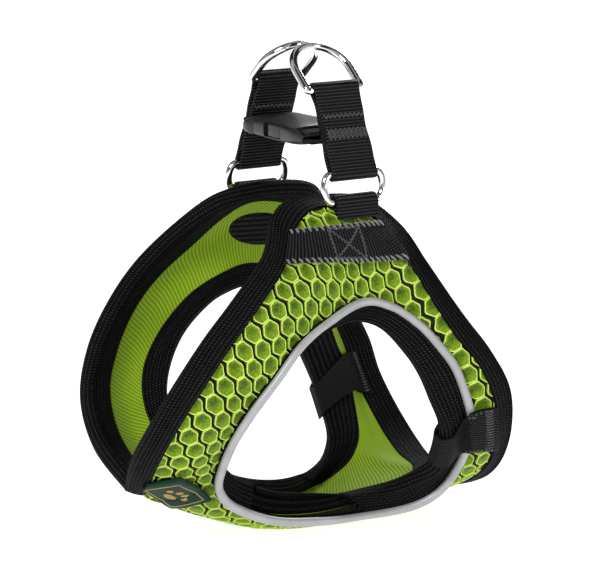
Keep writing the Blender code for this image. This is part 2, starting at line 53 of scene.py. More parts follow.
# ---------------------------------------------------------------- sizes, in millimetres
BACKING = 1.5                   # offset of the dark base of the honeycomb from the middle surface
LINING = -2.6                   # offset of the knitted lining
TAPE = 3.2                      # offset of the binding tape's faces
FOLD = 1.2                      # how far the tape's fold stands past the edge
EDGE_TRIM = 2.4                 # the outer edge line stands this far outside the edge binding's fold
RIB_PITCH = 1.25                # ribs in the tape beside its fold
OUTER_ARM_OVER = 0.7            # how far the outer arm of the edge binding reaches over the mesh
INNER_ARM_OVER = 4.6            # and its inner arm over the lining
LEG_OUTER_OVER = 1.5            # the same for the leg binding
LEG_INNER_OVER = 2.4
FOLD_RADIUS = 1.9               # how far the tape's rounded fold reaches
WAVER = 0.12                    # unevenness of sewn edges
PIPING_RADIUS = 1.85
PIPING_LIFT = 1.35              # its centre line above the tape's face
PANEL_START = 1.07              # where the panel and its outer face begin, just past the piping's seam
FACE_START = 1.05
CENTRE_GAP = 0.05               # the two sides stop this far short of the centre plane
CELL_PITCH = 7.25               # honeycomb, along X
CELL_ROW = 6.85                 # between rows, round the torso
CELL_STRETCH = CELL_ROW / (CELL_PITCH * math.sqrt(0.75))
CELL_SIDES = 36
CELL_START = (-1.0, 2.0)        # where the pattern begins, along X and round the torso
WEBBING = 20.0
PLY = 1.3
RAY = 200.0                     # longer than any way across the vest

# ---------------------------------------------------------------- the vest's middle surface
STATIONS = 21
HOLE_EDGE = [
    (0, (-46, -15, 38)), (1, (-47, -25, 50)), (2, (-43, -33, 64)), (3, (-34, -37, 79)),
    (4, (-21, -38, 90)), (5, (-10, -38, 95)), (6, (1, -39, 96)), (7, (12, -41, 92)),
    (8, (21, -45, 82)), (9, (27, -48, 72)), (10, (32, -49, 61)), (11, (37, -49, 50)),
    (12, (39, -46, 41)), (13, (39, -40, 31)), (14, (35, -32, 25)), (15, (27, -24, 20)),
    (16, (11, -14, 17)), (17, (-3, -9.5, 17)), (18, (-21, -9.5, 21)), (19, (-36, -12, 29)),
    (20, (-43, -14, 34)),
]
HOLE_SEAM = [
    (0, (-51, -19, 37)), (1, (-53, -30, 52)), (2, (-49, -38, 66)), (3, (-39, -42, 80)),
    (4, (-27, -42, 92)), (5, (-14, -41, 99)), (6, (0, -40, 103)), (7, (13, -41, 100)),
    (8, (26, -44, 92)), (9, (34, -47, 83)), (10, (41, -48, 73)), (11, (46, -48, 61)),
    (12, (50, -46, 50)), (13, (50, -41, 37)), (14, (47, -33, 24)), (15, (38, -27, 16)),
    (16, (20, -20, 12)), (17, (-1, -16, 10)), (18, (-22, -15, 13)), (19, (-39, -14, 21)),
    (20, (-47, -15, 29)),
]
PANEL_EDGE = [
    (0, (-71, 0, 28.5)), (1, (-76.5, -17, 43)), (2, (-75, -30, 60)), (3, (-68, -37, 76)),
    (4, (-58, -40.5, 91.5)), (5, (-45, -41, 106)), (5.7, (-31, -37, 119)), (6.2, (-22, -29, 130)),
    (6.5, (-12, -25, 136.5)), (6.9, (2, -25.5, 137)), (7.25, (13, -26, 134)), (7.6, (21, -33, 125)),
    (8, (27, -41, 111)), (9, (39, -50, 89)), (10, (50, -53, 75)), (11, (57, -53, 62)),
    (12, (61, -50, 48)), (13, (65, -40, 32)), (13.6, (65.5, -28, 22)), (14.1, (64, -14, 16)),
    (14.5, (61.5, 0, 14)), (15, (54, 0, 12)), (16, (30, 0, 7.5)), (17, (0, 0, 5.6)), (18, (-25, 0, 8.5)),
    (19, (-45, 0, 15.5)), (20, (-60, 0, 22.5)),
]
OUTER_EDGE = [
    (0, (-81, 0, 33)), (1, (-86, -14, 46)), (2, (-85, -26, 61)), (3, (-78, -33, 78)),
    (4, (-67, -36, 95)), (5, (-53, -37, 111)), (5.7, (-38, -33, 125)), (6.2, (-27, -21, 136)),
    (6.5, (-17, -15, 139)), (6.9, (2, -15, 139.5)), (7.25, (19, -16, 137)), (7.6, (30, -26, 127)),
    (8, (35, -37, 115)), (9, (46, -48, 95)), (10, (58.5, -48, 78)), (11, (67.5, -49, 63)),
    (12, (71.5, -46, 47)), (13, (75, -36, 31)), (13.6, (76, -26, 21.5)), (14.1, (74.5, -13, 16)),
    (14.5, (72, 0, 14)),
]
BULGE = [
    (0, 3.0), (1, 3.5), (3, 3.0), (5, 4.0), (6, 6.0), (7, 6.0), (8, 2.5), (9, 1.5), (11, 1.5),
    (13, 2.0), (15, 2.0), (17, 1.5), (19, 2.0),
]
BELLY_START = 14.5              # from here to the chest the outer side is the centre line
SEAM_STATION = 12.0             # the rear band is joined to the belly here


def curve(knots, period=None):
    """A smooth function through (station, value) knots, for arrays of stations."""
    ts = np.array([float(t) for t, _ in knots])
    vs = np.array([np.atleast_1d(np.array(v, float)) for _, v in knots])
    if period:
        ts = np.concatenate([ts[-2:] - period, ts, ts[:2] + period])
        vs = np.concatenate([vs[-2:], vs, vs[:2]])
    low = np.maximum(np.arange(len(ts)) - 1, 0)
    high = np.minimum(np.arange(len(ts)) + 1, len(ts) - 1)
    slopes = (vs[high] - vs[low]) / (ts[high] - ts[low])[:, None]

    def value(t):
        t = np.asarray(t, float)
        if period:
            t = np.mod(t, period)
        i = np.clip(np.searchsorted(ts, t + 1e-9, side="right") - 1, 0, len(ts) - 2)
        h = (ts[i + 1] - ts[i])[..., None]
        u = (t - ts[i])[..., None] / h
        p = vs[i] * (2 * u**3 - 3 * u**2 + 1) + slopes[i] * h * (u**3 - 2 * u**2 + u)
        p = p + vs[i + 1] * (3 * u**2 - 2 * u**3) + slopes[i + 1] * h * (u**3 - u**2)
        return p[..., 0] if vs.shape[1] == 1 else p

    return value


hole_edge = curve(HOLE_EDGE, STATIONS)
hole_seam = curve(HOLE_SEAM, STATIONS)
panel_edge = curve(PANEL_EDGE, STATIONS)
outer_edge = curve(OUTER_EDGE)
bulge = curve(BULGE, STATIONS)


def unit(v):
    return v / np.maximum(np.linalg.norm(v, axis=-1, keepdims=True), 1e-9)


def on_belly(t):
    t = np.mod(t, STATIONS)
    return (t >= BELLY_START) | (t < 1e-6)


def panel_rim(t):
    """The panel's outer rim, kept on the centre line under the belly."""
    p = panel_edge(t)
    y = np.minimum(p[..., 1], 0.0)
    p[..., 1] = np.where(on_belly(t), 0.0, y)
    return p


def surface(t, s):
    """The left panel's middle surface: s is 0 on the hole's edge, 1 on its seam and 3 on the outer rim."""
    t, s = np.broadcast_arrays(np.asarray(t, float), np.asarray(s, float))
    a, b, d = hole_edge(t), hole_seam(t), panel_rim(t)
    middle = (b + d) / 2
    out = middle - np.array((0, 0, TORSO_AXIS_Z))
    out[..., 0] = 0
    c = middle + unit(out) * bulge(t)[..., None]
    knots = [a, b, c, d]
    slopes = [b - a, (c - a) / 2, (d - b) / 2, d - c]
    i = np.clip(np.floor(s), 0, 2).astype(int)
    u = (s - i)[..., None]

    def pick(rows, k):
        return np.select([k[..., None] == n for n in range(4)], rows)

    inside = np.clip(u, 0, 1)
    p = pick(knots, i) * (2 * inside**3 - 3 * inside**2 + 1)
    p = p + pick(slopes, i) * (inside**3 - 2 * inside**2 + inside)
    p = p + pick(knots, i + 1) * (3 * inside**2 - 2 * inside**3)
    p = p + pick(slopes, i + 1) * (inside**3 - inside**2)
    return p + (u - inside) * np.where((u > 1), slopes[3], slopes[0])


def outward(n, p):
    """Those normals, turned away from the torso's axis."""
    toward = p - np.array((0, 0, TORSO_AXIS_Z))
    toward[..., 0] = 0
    flip = np.sum(n * toward, axis=-1, keepdims=True) < 0
    return np.where(flip, -n, n)


def normal(t, s):
    """The outward normal; on the centre line it lies in the centre plane."""
    e = 0.03
    t, s = np.broadcast_arrays(np.asarray(t, float), np.asarray(s, float))
    along = surface(t + e, s) - surface(t - e, s)
    across = surface(t, np.minimum(s + e, 3.0)) - surface(t, np.maximum(s - e, 0.0))
    n = outward(unit(np.cross(along, across)), surface(t, s))
    flat = (s > 2.99) & on_belly(t)
    n[..., 1] = np.where(flat, 0.0, n[..., 1])
    return unit(n)


# ---------------------------------------------------------------- mesh tools
def to_row(points):
    return (np.asarray(points, float) - ORIGIN) * MM


def mesh_object(name, points, faces, mats, uvs=None, smooth=True):
    """One named object from design points; uvs are millimetres per face corner."""
    mesh = bpy.data.meshes.new(name)
    mesh.from_pydata(to_row(points).tolist(), [], [[int(k) for k in face] for face in faces])
    for mat in mats:
        mesh.materials.append(mat)
    if uvs is not None:
        layer = mesh.uv_layers.new(name="fabric")
        layer.data.foreach_set("uv", np.asarray(uvs, np.float32).ravel())
    mesh.validate()
    if smooth:
        mesh.shade_smooth()
    obj = bpy.data.objects.new(name, mesh)
    bpy.context.scene.collection.objects.link(obj)
    return obj


def grid_faces(rows, cols, close_rows=False, close_cols=False, start=0):
    """Quads of a rows x cols grid of vertices, and which grid cell each face is."""
    i = np.arange(rows if close_rows else rows - 1)
    j = np.arange(cols if close_cols else cols - 1)
    i, j = [a.ravel() for a in np.meshgrid(i, j, indexing="ij")]
    i2, j2 = (i + 1) % rows, (j + 1) % cols
    quads = np.stack([i * cols + j, i * cols + j2, i2 * cols + j2, i2 * cols + j], axis=1) + start
    return quads, i, j


def lengths(points, close):
    """Running length along a row of points, with the closing step at the end."""
    row = np.concatenate([points, points[:1]]) if close else points
    steps = np.linalg.norm(np.diff(row, axis=0), axis=1)
    return np.concatenate([[0.0], np.cumsum(steps)])


def swept(name, rings, mats, close_rows=False, caps=False):
    """A tube through equal rings, with fabric coordinates in mm: u along the rings' row, v round a ring."""
    rings = np.asarray(rings, float)
    rows, cols = rings.shape[:2]
    quads, i, j = grid_faces(rows, cols, close_rows, True)
    us = lengths(rings.mean(axis=1), close_rows)
    vs = np.mean([lengths(ring, True) for ring in rings[:: max(rows // 8, 1)]], axis=0)
    corners = [(us[a], vs[b]) for a, b in ((i, j), (i, j + 1), (i + 1, j + 1), (i + 1, j))]
    uv = np.stack([np.stack(corner, axis=1) for corner in corners], axis=1).reshape(-1, 2).tolist()
    faces = quads.tolist()
    if caps:
        for first in (0, (rows - 1) * cols):
            faces.append(list(range(first, first + cols)))
            uv += [(0.0, vs[k]) for k in range(cols)]
    obj = mesh_object(name, rings.reshape(-1, 3), faces, mats, uvs=uv)
    fix_normals(obj)
    return obj


def fix_normals(obj):
    bm = bmesh.new()
    bm.from_mesh(obj.data)
    bmesh.ops.recalc_face_normals(bm, faces=bm.faces)
    bm.to_mesh(obj.data)
    bm.free()


def mirror(points, sign):
    """Left-hand points as they are for sign -1, mirrored for sign 1."""
    points = np.array(points, float)
    points[..., 1] *= -sign
    return points


def joined(name, objs):
    """Several new objects of one material as one object, with their fabric coordinates."""
    bm = bmesh.new()
    for obj in objs:
        bm.from_mesh(obj.data)
    mesh = bpy.data.meshes.new(name)
    bm.to_mesh(mesh)
    bm.free()
    mesh.materials.append(objs[0].data.materials[0])
    for obj in objs:
        data = obj.data
        bpy.data.objects.remove(obj)
        bpy.data.meshes.remove(data)
    made = bpy.data.objects.new(name, mesh)
    bpy.context.scene.collection.objects.link(made)
    return made


def wire(path, radius, sides=16, closed=True, flat=None):
    """Rings of a round wire along a path of points that lies in a plane."""
    path = np.asarray(path, float)
    if closed:
        ahead = unit(np.roll(path, -1, axis=0) - np.roll(path, 1, axis=0))
    else:
        ahead = unit(np.gradient(path, axis=0))
    if flat is None:
        centre = path.mean(axis=0)
        flat = unit(np.cross(path[0] - centre, path[len(path) // 4] - centre))
    side = unit(np.cross(ahead, flat))
    up = np.cross(side, ahead)
    a = 2 * np.pi * np.arange(sides) / sides
    radius = np.broadcast_to(radius, (len(path),))[:, None, None]
    ring = side[:, None, :] * np.cos(a)[None, :, None] + up[:, None, :] * np.sin(a)[None, :, None]
    return path[:, None, :] + radius * ring


# ---------------------------------------------------------------- materials
def new_material(name, roughness, colour=(0.5, 0.5, 0.5), metallic=0.0, sheen=0.0, specular=0.5):
    mat = bpy.data.materials.new(name)
    mat.use_nodes = True
    shader = mat.node_tree.nodes["Principled BSDF"]
    shader.inputs["Base Color"].default_value = (*colour, 1)
    shader.inputs["Roughness"].default_value = roughness
    shader.inputs["Metallic"].default_value = metallic
    shader.inputs["Sheen Weight"].default_value = sheen
    shader.inputs["Specular IOR Level"].default_value = specular
    return mat, Nodes(mat.node_tree, shader)


class Nodes:
    """Short calls for the nodes that the materials share."""

    def __init__(self, tree, shader):
        self.tree, self.shader = tree, shader

    def add(self, kind, **inputs):
        node = self.tree.nodes.new(kind)
        for key, value in inputs.items():
            self.put(node.inputs[key.replace("_", " ")], value)
        return node

    def put(self, socket, value):
        if isinstance(value, bpy.types.NodeSocket):
            self.tree.links.new(value, socket)
        else:
            socket.default_value = value

    def math(self, operation, a, b=0.0, c=0.0):
        node = self.tree.nodes.new("ShaderNodeMath")
        node.operation = operation
        for socket, value in zip(node.inputs, (a, b, c)):
            self.put(socket, value)
        return node.outputs[0]

    def fabric(self):
        """The piece's fabric coordinates in millimetres: along, across."""
        uv = self.tree.nodes.new("ShaderNodeUVMap")
        uv.uv_map = "fabric"
        return self.add("ShaderNodeSeparateXYZ", Vector=uv.outputs[0]).outputs[:2]

    def place(self):
        return self.tree.nodes.new("ShaderNodeTexCoord").outputs["Object"]

    def noise(self, vector, scale, detail=3.0, roughness=0.55):
        return self.add("ShaderNodeTexNoise", Vector=vector, Scale=scale, Detail=detail,
                        Roughness=roughness).outputs["Fac"]

    def ramp(self, fac, *stops):
        node = self.add("ShaderNodeValToRGB", Fac=fac)
        ramp = node.color_ramp
        while len(ramp.elements) < len(stops):
            ramp.elements.new(0.5)
        for element, (at, colour) in zip(ramp.elements, stops):
            element.position = at
            element.color = (*colour, 1)
        return node.outputs["Color"]

    def relief(self, height, distance, strength):
        """A bump from that height, on the shader's normal."""
        bump = self.add("ShaderNodeBump", Height=height, Distance=distance, Strength=strength)
        self.put(self.shader.inputs["Normal"], bump.outputs[0])

    def wave(self, value, pitch, phase=0.0):
        """A sine of value with that pitch, from 0 to 1."""
        turns = self.math("MULTIPLY_ADD", value, 2 * math.pi / pitch, phase)
        return self.math("MULTIPLY_ADD", self.math("SINE", turns), 0.5, 0.5)

    def set(self, **values):
        for key, value in values.items():
            self.put(self.shader.inputs[key.replace("_", " ")], value)


def shade(colour, share):
    return tuple(share * c for c in colour)


def tape_material():
    """Knitted binding tape: rows of small zigzag stitches along the tape."""
    mat, n = new_material("binding_tape", 0.75, specular=0.07)
    u, v = n.fabric()
    place = n.place()
    wander = n.math("MULTIPLY", n.noise(place, 300.0), 1.1)
    slanted = n.math("MULTIPLY_ADD", n.math("PINGPONG", v, 0.95), 0.8, n.math("ADD", u, wander))
    stitches = n.wave(slanted, 1.15)
    rows = n.wave(v, 1.9, 0.6)
    knit = n.math("MULTIPLY", stitches, n.math("MULTIPLY_ADD", rows, 0.75, 0.25))
    fuzz = n.noise(place, 2300.0, 3.0)
    height = n.math("MULTIPLY_ADD", fuzz, 0.75, knit)
    tone = n.math("MULTIPLY", height, 0.57)
    # Colour follows the knit's height: the raised stitches are painted as grey specks, painted highlights on
    # the black tape.
    n.set(Base_Color=n.ramp(tone, (0.30, (0.0013, 0.0013, 0.0015)), (0.58, (0.007, 0.007, 0.0075)),
                            (0.88, (0.085, 0.085, 0.09))))
    n.set(Roughness=n.math("MULTIPLY_ADD", fuzz, 0.25, 0.55))
    n.relief(height, 0.0005, 0.9)
    return mat


def webbing_material(name, rib, colour):
    """Woven tape: ribs across the width with fine threads that cross them."""
    mat, n = new_material(name, 0.55, specular=0.08)
    u, v = n.fabric()
    ribs = n.wave(u, rib)
    threads = n.wave(n.math("MULTIPLY_ADD", u, 0.35, v), 1.05)
    fuzz = n.noise(n.place(), 3000.0, 2.0)
    height = n.math("MULTIPLY_ADD", n.math("MULTIPLY", ribs, threads), 0.75,
                    n.math("MULTIPLY_ADD", ribs, 0.55, n.math("MULTIPLY", fuzz, 0.25)))
    tone = n.math("MULTIPLY", height, 0.64)
    # Colour follows the weave's height: near black in the grooves as painted shade, up to the full colour on
    # the raised ribs as painted highlight.
    n.set(Base_Color=n.ramp(tone, (0.22, shade(colour, 0.05)), (0.55, shade(colour, 0.22)), (0.92, colour)))
    n.set(Roughness=n.math("MULTIPLY_ADD", fuzz, 0.2, 0.42))
    n.relief(height, 0.00035, 0.9)
    return mat


def lining_material():
    """Lime knit with fine diagonal ribs, lighter on their raised crests as painted light, and soft random
    patches of lighter and darker tone.
    """
    mat, n = new_material("lime_lining", 0.7, sheen=0.12, specular=0.15)
    u, v = n.fabric()
    place = n.place()
    wander = n.math("MULTIPLY", n.noise(place, 70.0), 0.8)
    diagonal = n.math("ADD", n.math("MULTIPLY_ADD", v, 0.75, n.math("MULTIPLY", u, 0.66)), wander)
    ribs = n.wave(diagonal, 1.15)
    fine = n.noise(place, 2400.0, 2.0)
    height = n.math("MULTIPLY_ADD", fine, 0.45, ribs)
    patches = n.noise(place, 22.0)
    # Tone: random soft patches, plus the ribs' height, lighter on the crests as painted light.
    tone = n.math("MULTIPLY_ADD", patches, 0.5, n.math("MULTIPLY", height, 0.5))
    n.set(Base_Color=n.ramp(tone, (0.2, (0.10, 0.20, 0.003)), (0.9, (0.36, 0.54, 0.018))))
    n.relief(height, 0.00025, 0.55)
    return mat


def cell_material():
    """Spacer mesh cells: lime walls made bright on their crests as painted light, olive hollows darkened as
    painted shade.
    """
    mat, n = new_material("lime_cells", 0.6, sheen=0.06, specular=0.2)
    painted_light = n.tree.nodes.new("ShaderNodeAttribute")
    painted_light.attribute_name = "painted_light"
    place = n.place()
    fine = n.noise(place, 1150.0, 5.0, 0.7)
    broad = n.noise(place, 60.0)
    tone = n.math("MULTIPLY_ADD", fine, 0.85, n.math("MULTIPLY_ADD", broad, 0.16, painted_light.outputs["Fac"]))
    tone = n.math("SUBTRACT", tone, 0.39)
    n.set(Base_Color=n.ramp(tone, (0.06, (0.032, 0.070, 0.0005)), (0.30, (0.125, 0.225, 0.002)),
                            (0.66, (0.33, 0.50, 0.014)), (1.0, (0.76, 0.92, 0.22))))
    n.relief(n.math("MULTIPLY_ADD", fine, 0.8, n.noise(place, 900.0)), 0.00035, 0.7)
    return mat


def net_material():
    """The dark knitted base under the cells."""
    mat, n = new_material("dark_net", 0.85, specular=0.2)
    fine = n.noise(n.place(), 1500.0)
    n.set(Base_Color=n.ramp(fine, (0.35, (0.003, 0.0035, 0.002)), (0.8, (0.022, 0.026, 0.008))))
    n.relief(fine, 0.0004, 0.8)
    return mat


def piping_material():
    """Retroreflective cloth over a cord: pale grey with a fine glass-bead grain."""
    mat, n = new_material("reflective_cloth", 0.4, metallic=0.25, specular=0.6)
    place = n.place()
    grain = n.noise(place, 3600.0, 2.0)
    soft = n.noise(place, 120.0)
    tone = n.math("MULTIPLY_ADD", grain, 0.35, n.math("MULTIPLY", soft, 0.4))
    n.set(Base_Color=n.ramp(tone, (0.2, (0.30, 0.30, 0.31)), (0.6, (0.52, 0.52, 0.53))))
    n.set(Roughness=n.math("MULTIPLY_ADD", grain, 0.3, 0.3))
    n.relief(grain, 0.00012, 0.5)
    return mat


def chrome_material():
    mat, n = new_material("chrome_wire", 0.08, colour=(0.82, 0.82, 0.84), metallic=1.0)
    haze = n.noise(n.place(), 260.0, 4.0)
    n.set(Roughness=n.math("MULTIPLY_ADD", haze, 0.12, 0.03))
    n.relief(n.noise(n.place(), 900.0), 0.00003, 0.3)
    return mat


def plastic_material():
    """Moulded acetal with a fine spark-eroded grain, a little polished in soft random patches."""
    mat, n = new_material("satin_plastic", 0.36, specular=0.5)
    place = n.place()
    grain = n.noise(place, 1900.0, 3.0)
    worn = n.noise(place, 130.0)
    n.set(Base_Color=n.ramp(worn, (0.3, (0.009, 0.009, 0.010)), (0.8, (0.018, 0.018, 0.019))))
    n.set(Roughness=n.math("MULTIPLY_ADD", worn, 0.16, 0.26))
    n.relief(grain, 0.00008, 0.45)
    return mat


def rubber_material(name, colour, metallic=0.0, base=0.42):
    """Moulded rubber, or gilt paint on it, with a fine grain."""
    mat, n = new_material(name, base, metallic=metallic, specular=0.12)
    place = n.place()
    grain = n.noise(place, 1300.0, 3.0)
    n.set(Base_Color=n.ramp(n.noise(place, 240.0), (0.3, shade(colour, 0.75)), (0.8, colour)))
    n.set(Roughness=n.math("MULTIPLY_ADD", grain, 0.25, base - 0.1))
    n.relief(grain, 0.00008, 0.4)
    return mat


def thread_material(name, colour):
    """Twisted sewing thread."""
    mat, n = new_material(name, 0.5, sheen=0.3)
    twist = n.noise(n.place(), 4000.0, 2.0)
    n.set(Base_Color=n.ramp(twist, (0.3, shade(colour, 0.5)), (0.75, colour)))
    n.relief(twist, 0.0001, 0.6)
    return mat


tape = tape_material()
webbing = webbing_material("rib_webbing", 1.3, (0.075, 0.075, 0.078))
twill = webbing_material("fine_webbing", 0.95, (0.055, 0.055, 0.058))
lining = lining_material()
cells_mat = cell_material()
net = net_material()
reflective = piping_material()
chrome = chrome_material()
plastic = plastic_material()
rubber = rubber_material("badge_rubber", (0.003, 0.034, 0.021))
gold = rubber_material("badge_gold", (0.42, 0.30, 0.10), metallic=0.35, base=0.45)
thread = thread_material("grey_thread", (0.22, 0.22, 0.225))
# Black thread, given a dark grey colour that stands in for the glints on its stitches: painted highlight.
dark_thread = thread_material("black_thread", (0.045, 0.045, 0.048))


# ---------------------------------------------------------------- the padded panel
def panel(side, sign):
    """The padded band: dark net outside, lime knit inside, closed along its edges."""
    ts = np.linspace(SEAM_STATION + 0.04, SEAM_STATION + STATIONS - 0.04, 240)
    ss = np.linspace(PANEL_START, 3.0, 25)
    t, s = np.meshgrid(ts, ss, indexing="ij")
    n, p = normal(t, s), surface(t, s)
    crown = np.sin(np.pi * (s - 1) / 2)
    outer = p + n * (BACKING + 0.25 * crown)[..., None]
    inner = p + n * (LINING - 0.4 * crown)[..., None]
    outer[..., 2] = np.maximum(outer[..., 2], REST_Z)
    for face in (outer, inner):
        face[..., 1] = np.minimum(face[..., 1], -CENTRE_GAP)
    rings = np.concatenate([outer, inner[:, ::-1]], axis=1)
    cols = rings.shape[1]
    obj = swept(f"{side}_panel", mirror(rings, sign), [net, lining], caps=True)
    for poly in obj.data.polygons:
        inside = min(v % cols for v in poly.vertices) >= len(ss) - 1
        poly.material_index = int(inside and len(poly.vertices) == 4)
    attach(obj, "vest")
    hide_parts(f"{side}_padding", f"{side}_lining")


def outer_tree(offset, s_low, s_high):
    """A search tree of the left panel's outer face, between two lines across the panel."""
    ts = np.linspace(0, STATIONS, 260)
    ss = np.linspace(s_low, s_high, 34)
    t, s = np.meshgrid(ts, ss, indexing="ij")
    p = surface(t, s) + normal(t, np.clip(s, 0.0, 3.0)) * offset
    p[..., 2] = np.maximum(p[..., 2], REST_Z)
    quads, _, _ = grid_faces(len(ts), len(ss))
    return BVHTree.FromPolygons(p.reshape(-1, 3).tolist(), quads.tolist())


face_tree = outer_tree(BACKING, FACE_START, 3.08)
wide_tree = outer_tree(BACKING, 0.2, 3.9)
cover_tree = outer_tree(2.6, 0.90, 3.08)


def from_axis(tree, x, angle):
    """What a ray from the torso's axis hits, as ray_cast gives it; the angle is from straight down."""
    return tree.ray_cast(Vector((x, 0, TORSO_AXIS_Z)), Vector((0, -math.sin(angle), -math.cos(angle))), RAY)


class Round:
    """Angles round the torso's axis by length along the outer face, from the widest place of the side."""

    XS = np.linspace(-92, 88, 91)
    ANGLES = np.radians(np.linspace(0, 168, 113))

    def __init__(self, tree):
        reach = np.full((len(self.XS), len(self.ANGLES)), np.nan)
        for i, x in enumerate(self.XS):
            for j, a in enumerate(self.ANGLES):
                hit, _, _, _ = from_axis(tree, x, a)
                if hit is not None:
                    reach[i, j] = math.hypot(hit.y, hit.z - TORSO_AXIS_Z)
            known = ~np.isnan(reach[i])
            if known.sum() > 3:
                reach[i] = np.interp(self.ANGLES, self.ANGLES[known], reach[i, known])
        rows = ~np.isnan(reach[:, 0])
        for j in range(len(self.ANGLES)):
            reach[:, j] = np.interp(self.XS, self.XS[rows], reach[rows, j])
        for _ in range(12):
            reach[1:-1] = (reach[:-2] + 2 * reach[1:-1] + reach[2:]) / 4
        step = np.diff(self.ANGLES)
        middle = (reach[:, 1:] + reach[:, :-1]) / 2
        length = np.hypot(middle * step, np.diff(reach, axis=1))
        self.run = np.concatenate([np.zeros((len(self.XS), 1)), np.cumsum(length, axis=1)], axis=1)
        side = np.searchsorted(self.ANGLES, math.pi / 2)
        self.run -= self.run[:, side:side + 1]
        self.reach = reach

    def column(self, x):
        """The table's column at x and the share of the next one."""
        at = np.clip((x - self.XS[0]) / (self.XS[1] - self.XS[0]), 0, len(self.XS) - 1.001)
        return int(at), at - int(at)

    def point(self, x, along):
        """A point near the outer face, also past the panel's edges."""
        angle = self.angle(x, along)
        i, share = self.column(x)
        reach = np.interp(angle, self.ANGLES, self.reach[i] * (1 - share) + self.reach[i + 1] * share)
        return Vector((x, -math.sin(angle) * reach, TORSO_AXIS_Z - math.cos(angle) * reach))

    def angle(self, x, along):
        i, share = self.column(x)
        low = np.interp(along, self.run[i], self.ANGLES)
        high = np.interp(along, self.run[i + 1], self.ANGLES)
        return low + (high - low) * share


round_face = Round(wide_tree)


def from_torso(n, p):
    """That normal, turned away from the torso's axis."""
    return n if n.y * p.y + n.z * (p.z - TORSO_AXIS_Z) > 0 else -n


def on_face(tree, x, along):
    """The outer face at x, and at that length round the torso: the point and its outward normal, or None."""
    hit, n, _, _ = from_axis(tree, x, round_face.angle(x, along))
    return None if hit is None else (hit, from_torso(n, hit))


CELL_PROFILE = [                # share of the cell's radius, height in mm, and the painted light: high on the lit wall crest, low for painted shade in the hollow
    (0.0, 0.40, 0.08), (0.32, 0.40, 0.10), (0.58, 0.44, 0.16), (0.74, 0.54, 0.26), (0.835, 0.82, 0.44),
    (0.875, 1.08, 1.0), (0.905, 1.06, 0.95), (0.94, 0.92, 0.58), (1.0, 0.80, 0.52),
]


def cell_outline(angle):
    """Where a cell ends in that direction, as a share of the hexagon, and how open the gap beside it is."""
    turn = (angle + math.pi / 6) % (math.pi / 3) - math.pi / 6
    joined_side = math.cos(2 * (angle - math.radians(120)))
    gap = min(max((0.66 - joined_side) / 0.3, 0.0), 1.0)
    gap = gap * gap * (3 - 2 * gap)
    upper = max(math.sin(angle - math.radians(-60)), 0.0)
    reach = min(1.0 / math.cos(turn), 1.155 - 0.10 * gap)
    return reach * (1.03 - 0.10 * gap - 0.14 * gap * upper), gap


def cell_points(x, along, rng):
    """One cell's points with their painted light (lit wall crests, painted shade in the hollow), or None
    where the panel has no room for it.
    """
    outline = [(2 * math.pi * k / CELL_SIDES, *cell_outline(2 * math.pi * k / CELL_SIDES))
               for k in range(CELL_SIDES)]
    size = 1.0 + 0.02 * rng.standard_normal()
    depth = 1.0 + 0.15 * rng.standard_normal()
    points, painted_lights, inside, flattened = [], [], 0, 0
    for share, height, painted_light in CELL_PROFILE:
        for a, edge, gap in outline if share else [(0.0, 0.0, 0.0)]:
            r = share * edge * CELL_PITCH / 2 * size
            at = (x + r * math.cos(a), along + r * math.sin(a) * CELL_STRETCH)
            found = on_face(face_tree, *at)
            inside += found is not None
            lift, tone = height, painted_light
            # At the outline the tone is lowered where a dark channel lies beside the cell, painted shade;
            # inside the hollow one side is made darker than the other, painted shade as of light from one
            # side.
            if share == 1.0:
                lift, tone = 0.85 - 0.9 * gap, 0.60 - 0.25 * gap
            elif share < 0.6:
                lift = max(0.85 - (0.85 - height) * depth, 0.2)
                tone -= 0.11 * math.sin(a - 0.6) * (share > 0)
            if found is None:
                away = round_face.point(*at)
                hit, n, _, gone = face_tree.find_nearest(away)
                if gone > CELL_PITCH:
                    return None
                found = hit, from_torso(n, away)
                lift = min(lift, 0.4)
            p = found[0] + found[1] * lift
            flattened += p.y > -CENTRE_GAP
            points.append((p.x, min(p.y, -CENTRE_GAP), max(p.z, REST_Z)))
            painted_lights.append(tone)
    return (points, painted_lights) if inside > 0.03 * len(points) and flattened < 0.45 * len(points) else None


def honeycomb(side, sign):
    """Raised hexagon cells on the outer face, joined in slanting rows with dark channels between the rows."""
    rng = np.random.default_rng(7)
    verts, faces, painted_lights = [], [], []
    for row in range(-14, 14):
        for column in range(-12, 12):
            x = CELL_PITCH * (column + 0.5 * (row % 2)) + CELL_START[0]
            made = cell_points(x, row * CELL_ROW + CELL_START[1], rng)
            if made is None:
                continue
            start = len(verts)
            verts += made[0]
            painted_lights += made[1]
            for k in range(CELL_SIDES):
                k2 = (k + 1) % CELL_SIDES
                faces.append((start, start + 1 + k, start + 1 + k2))
                for ring in range(len(CELL_PROFILE) - 2):
                    a = start + 1 + ring * CELL_SIDES
                    faces.append((a + k, a + CELL_SIDES + k, a + CELL_SIDES + k2, a + k2))
    obj = mesh_object(f"{side}_honeycomb", mirror(verts, sign), faces, [cells_mat])
    fix_normals(obj)
    # Per-point painted light of the cells: lit wall crests, painted shade in the hollows.
    attribute = obj.data.attributes.new("painted_light", "FLOAT", "POINT")
    attribute.data.foreach_set("value", np.asarray(painted_lights, np.float32))
    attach(obj, "vest")
    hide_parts(f"{side}_mesh_panel")


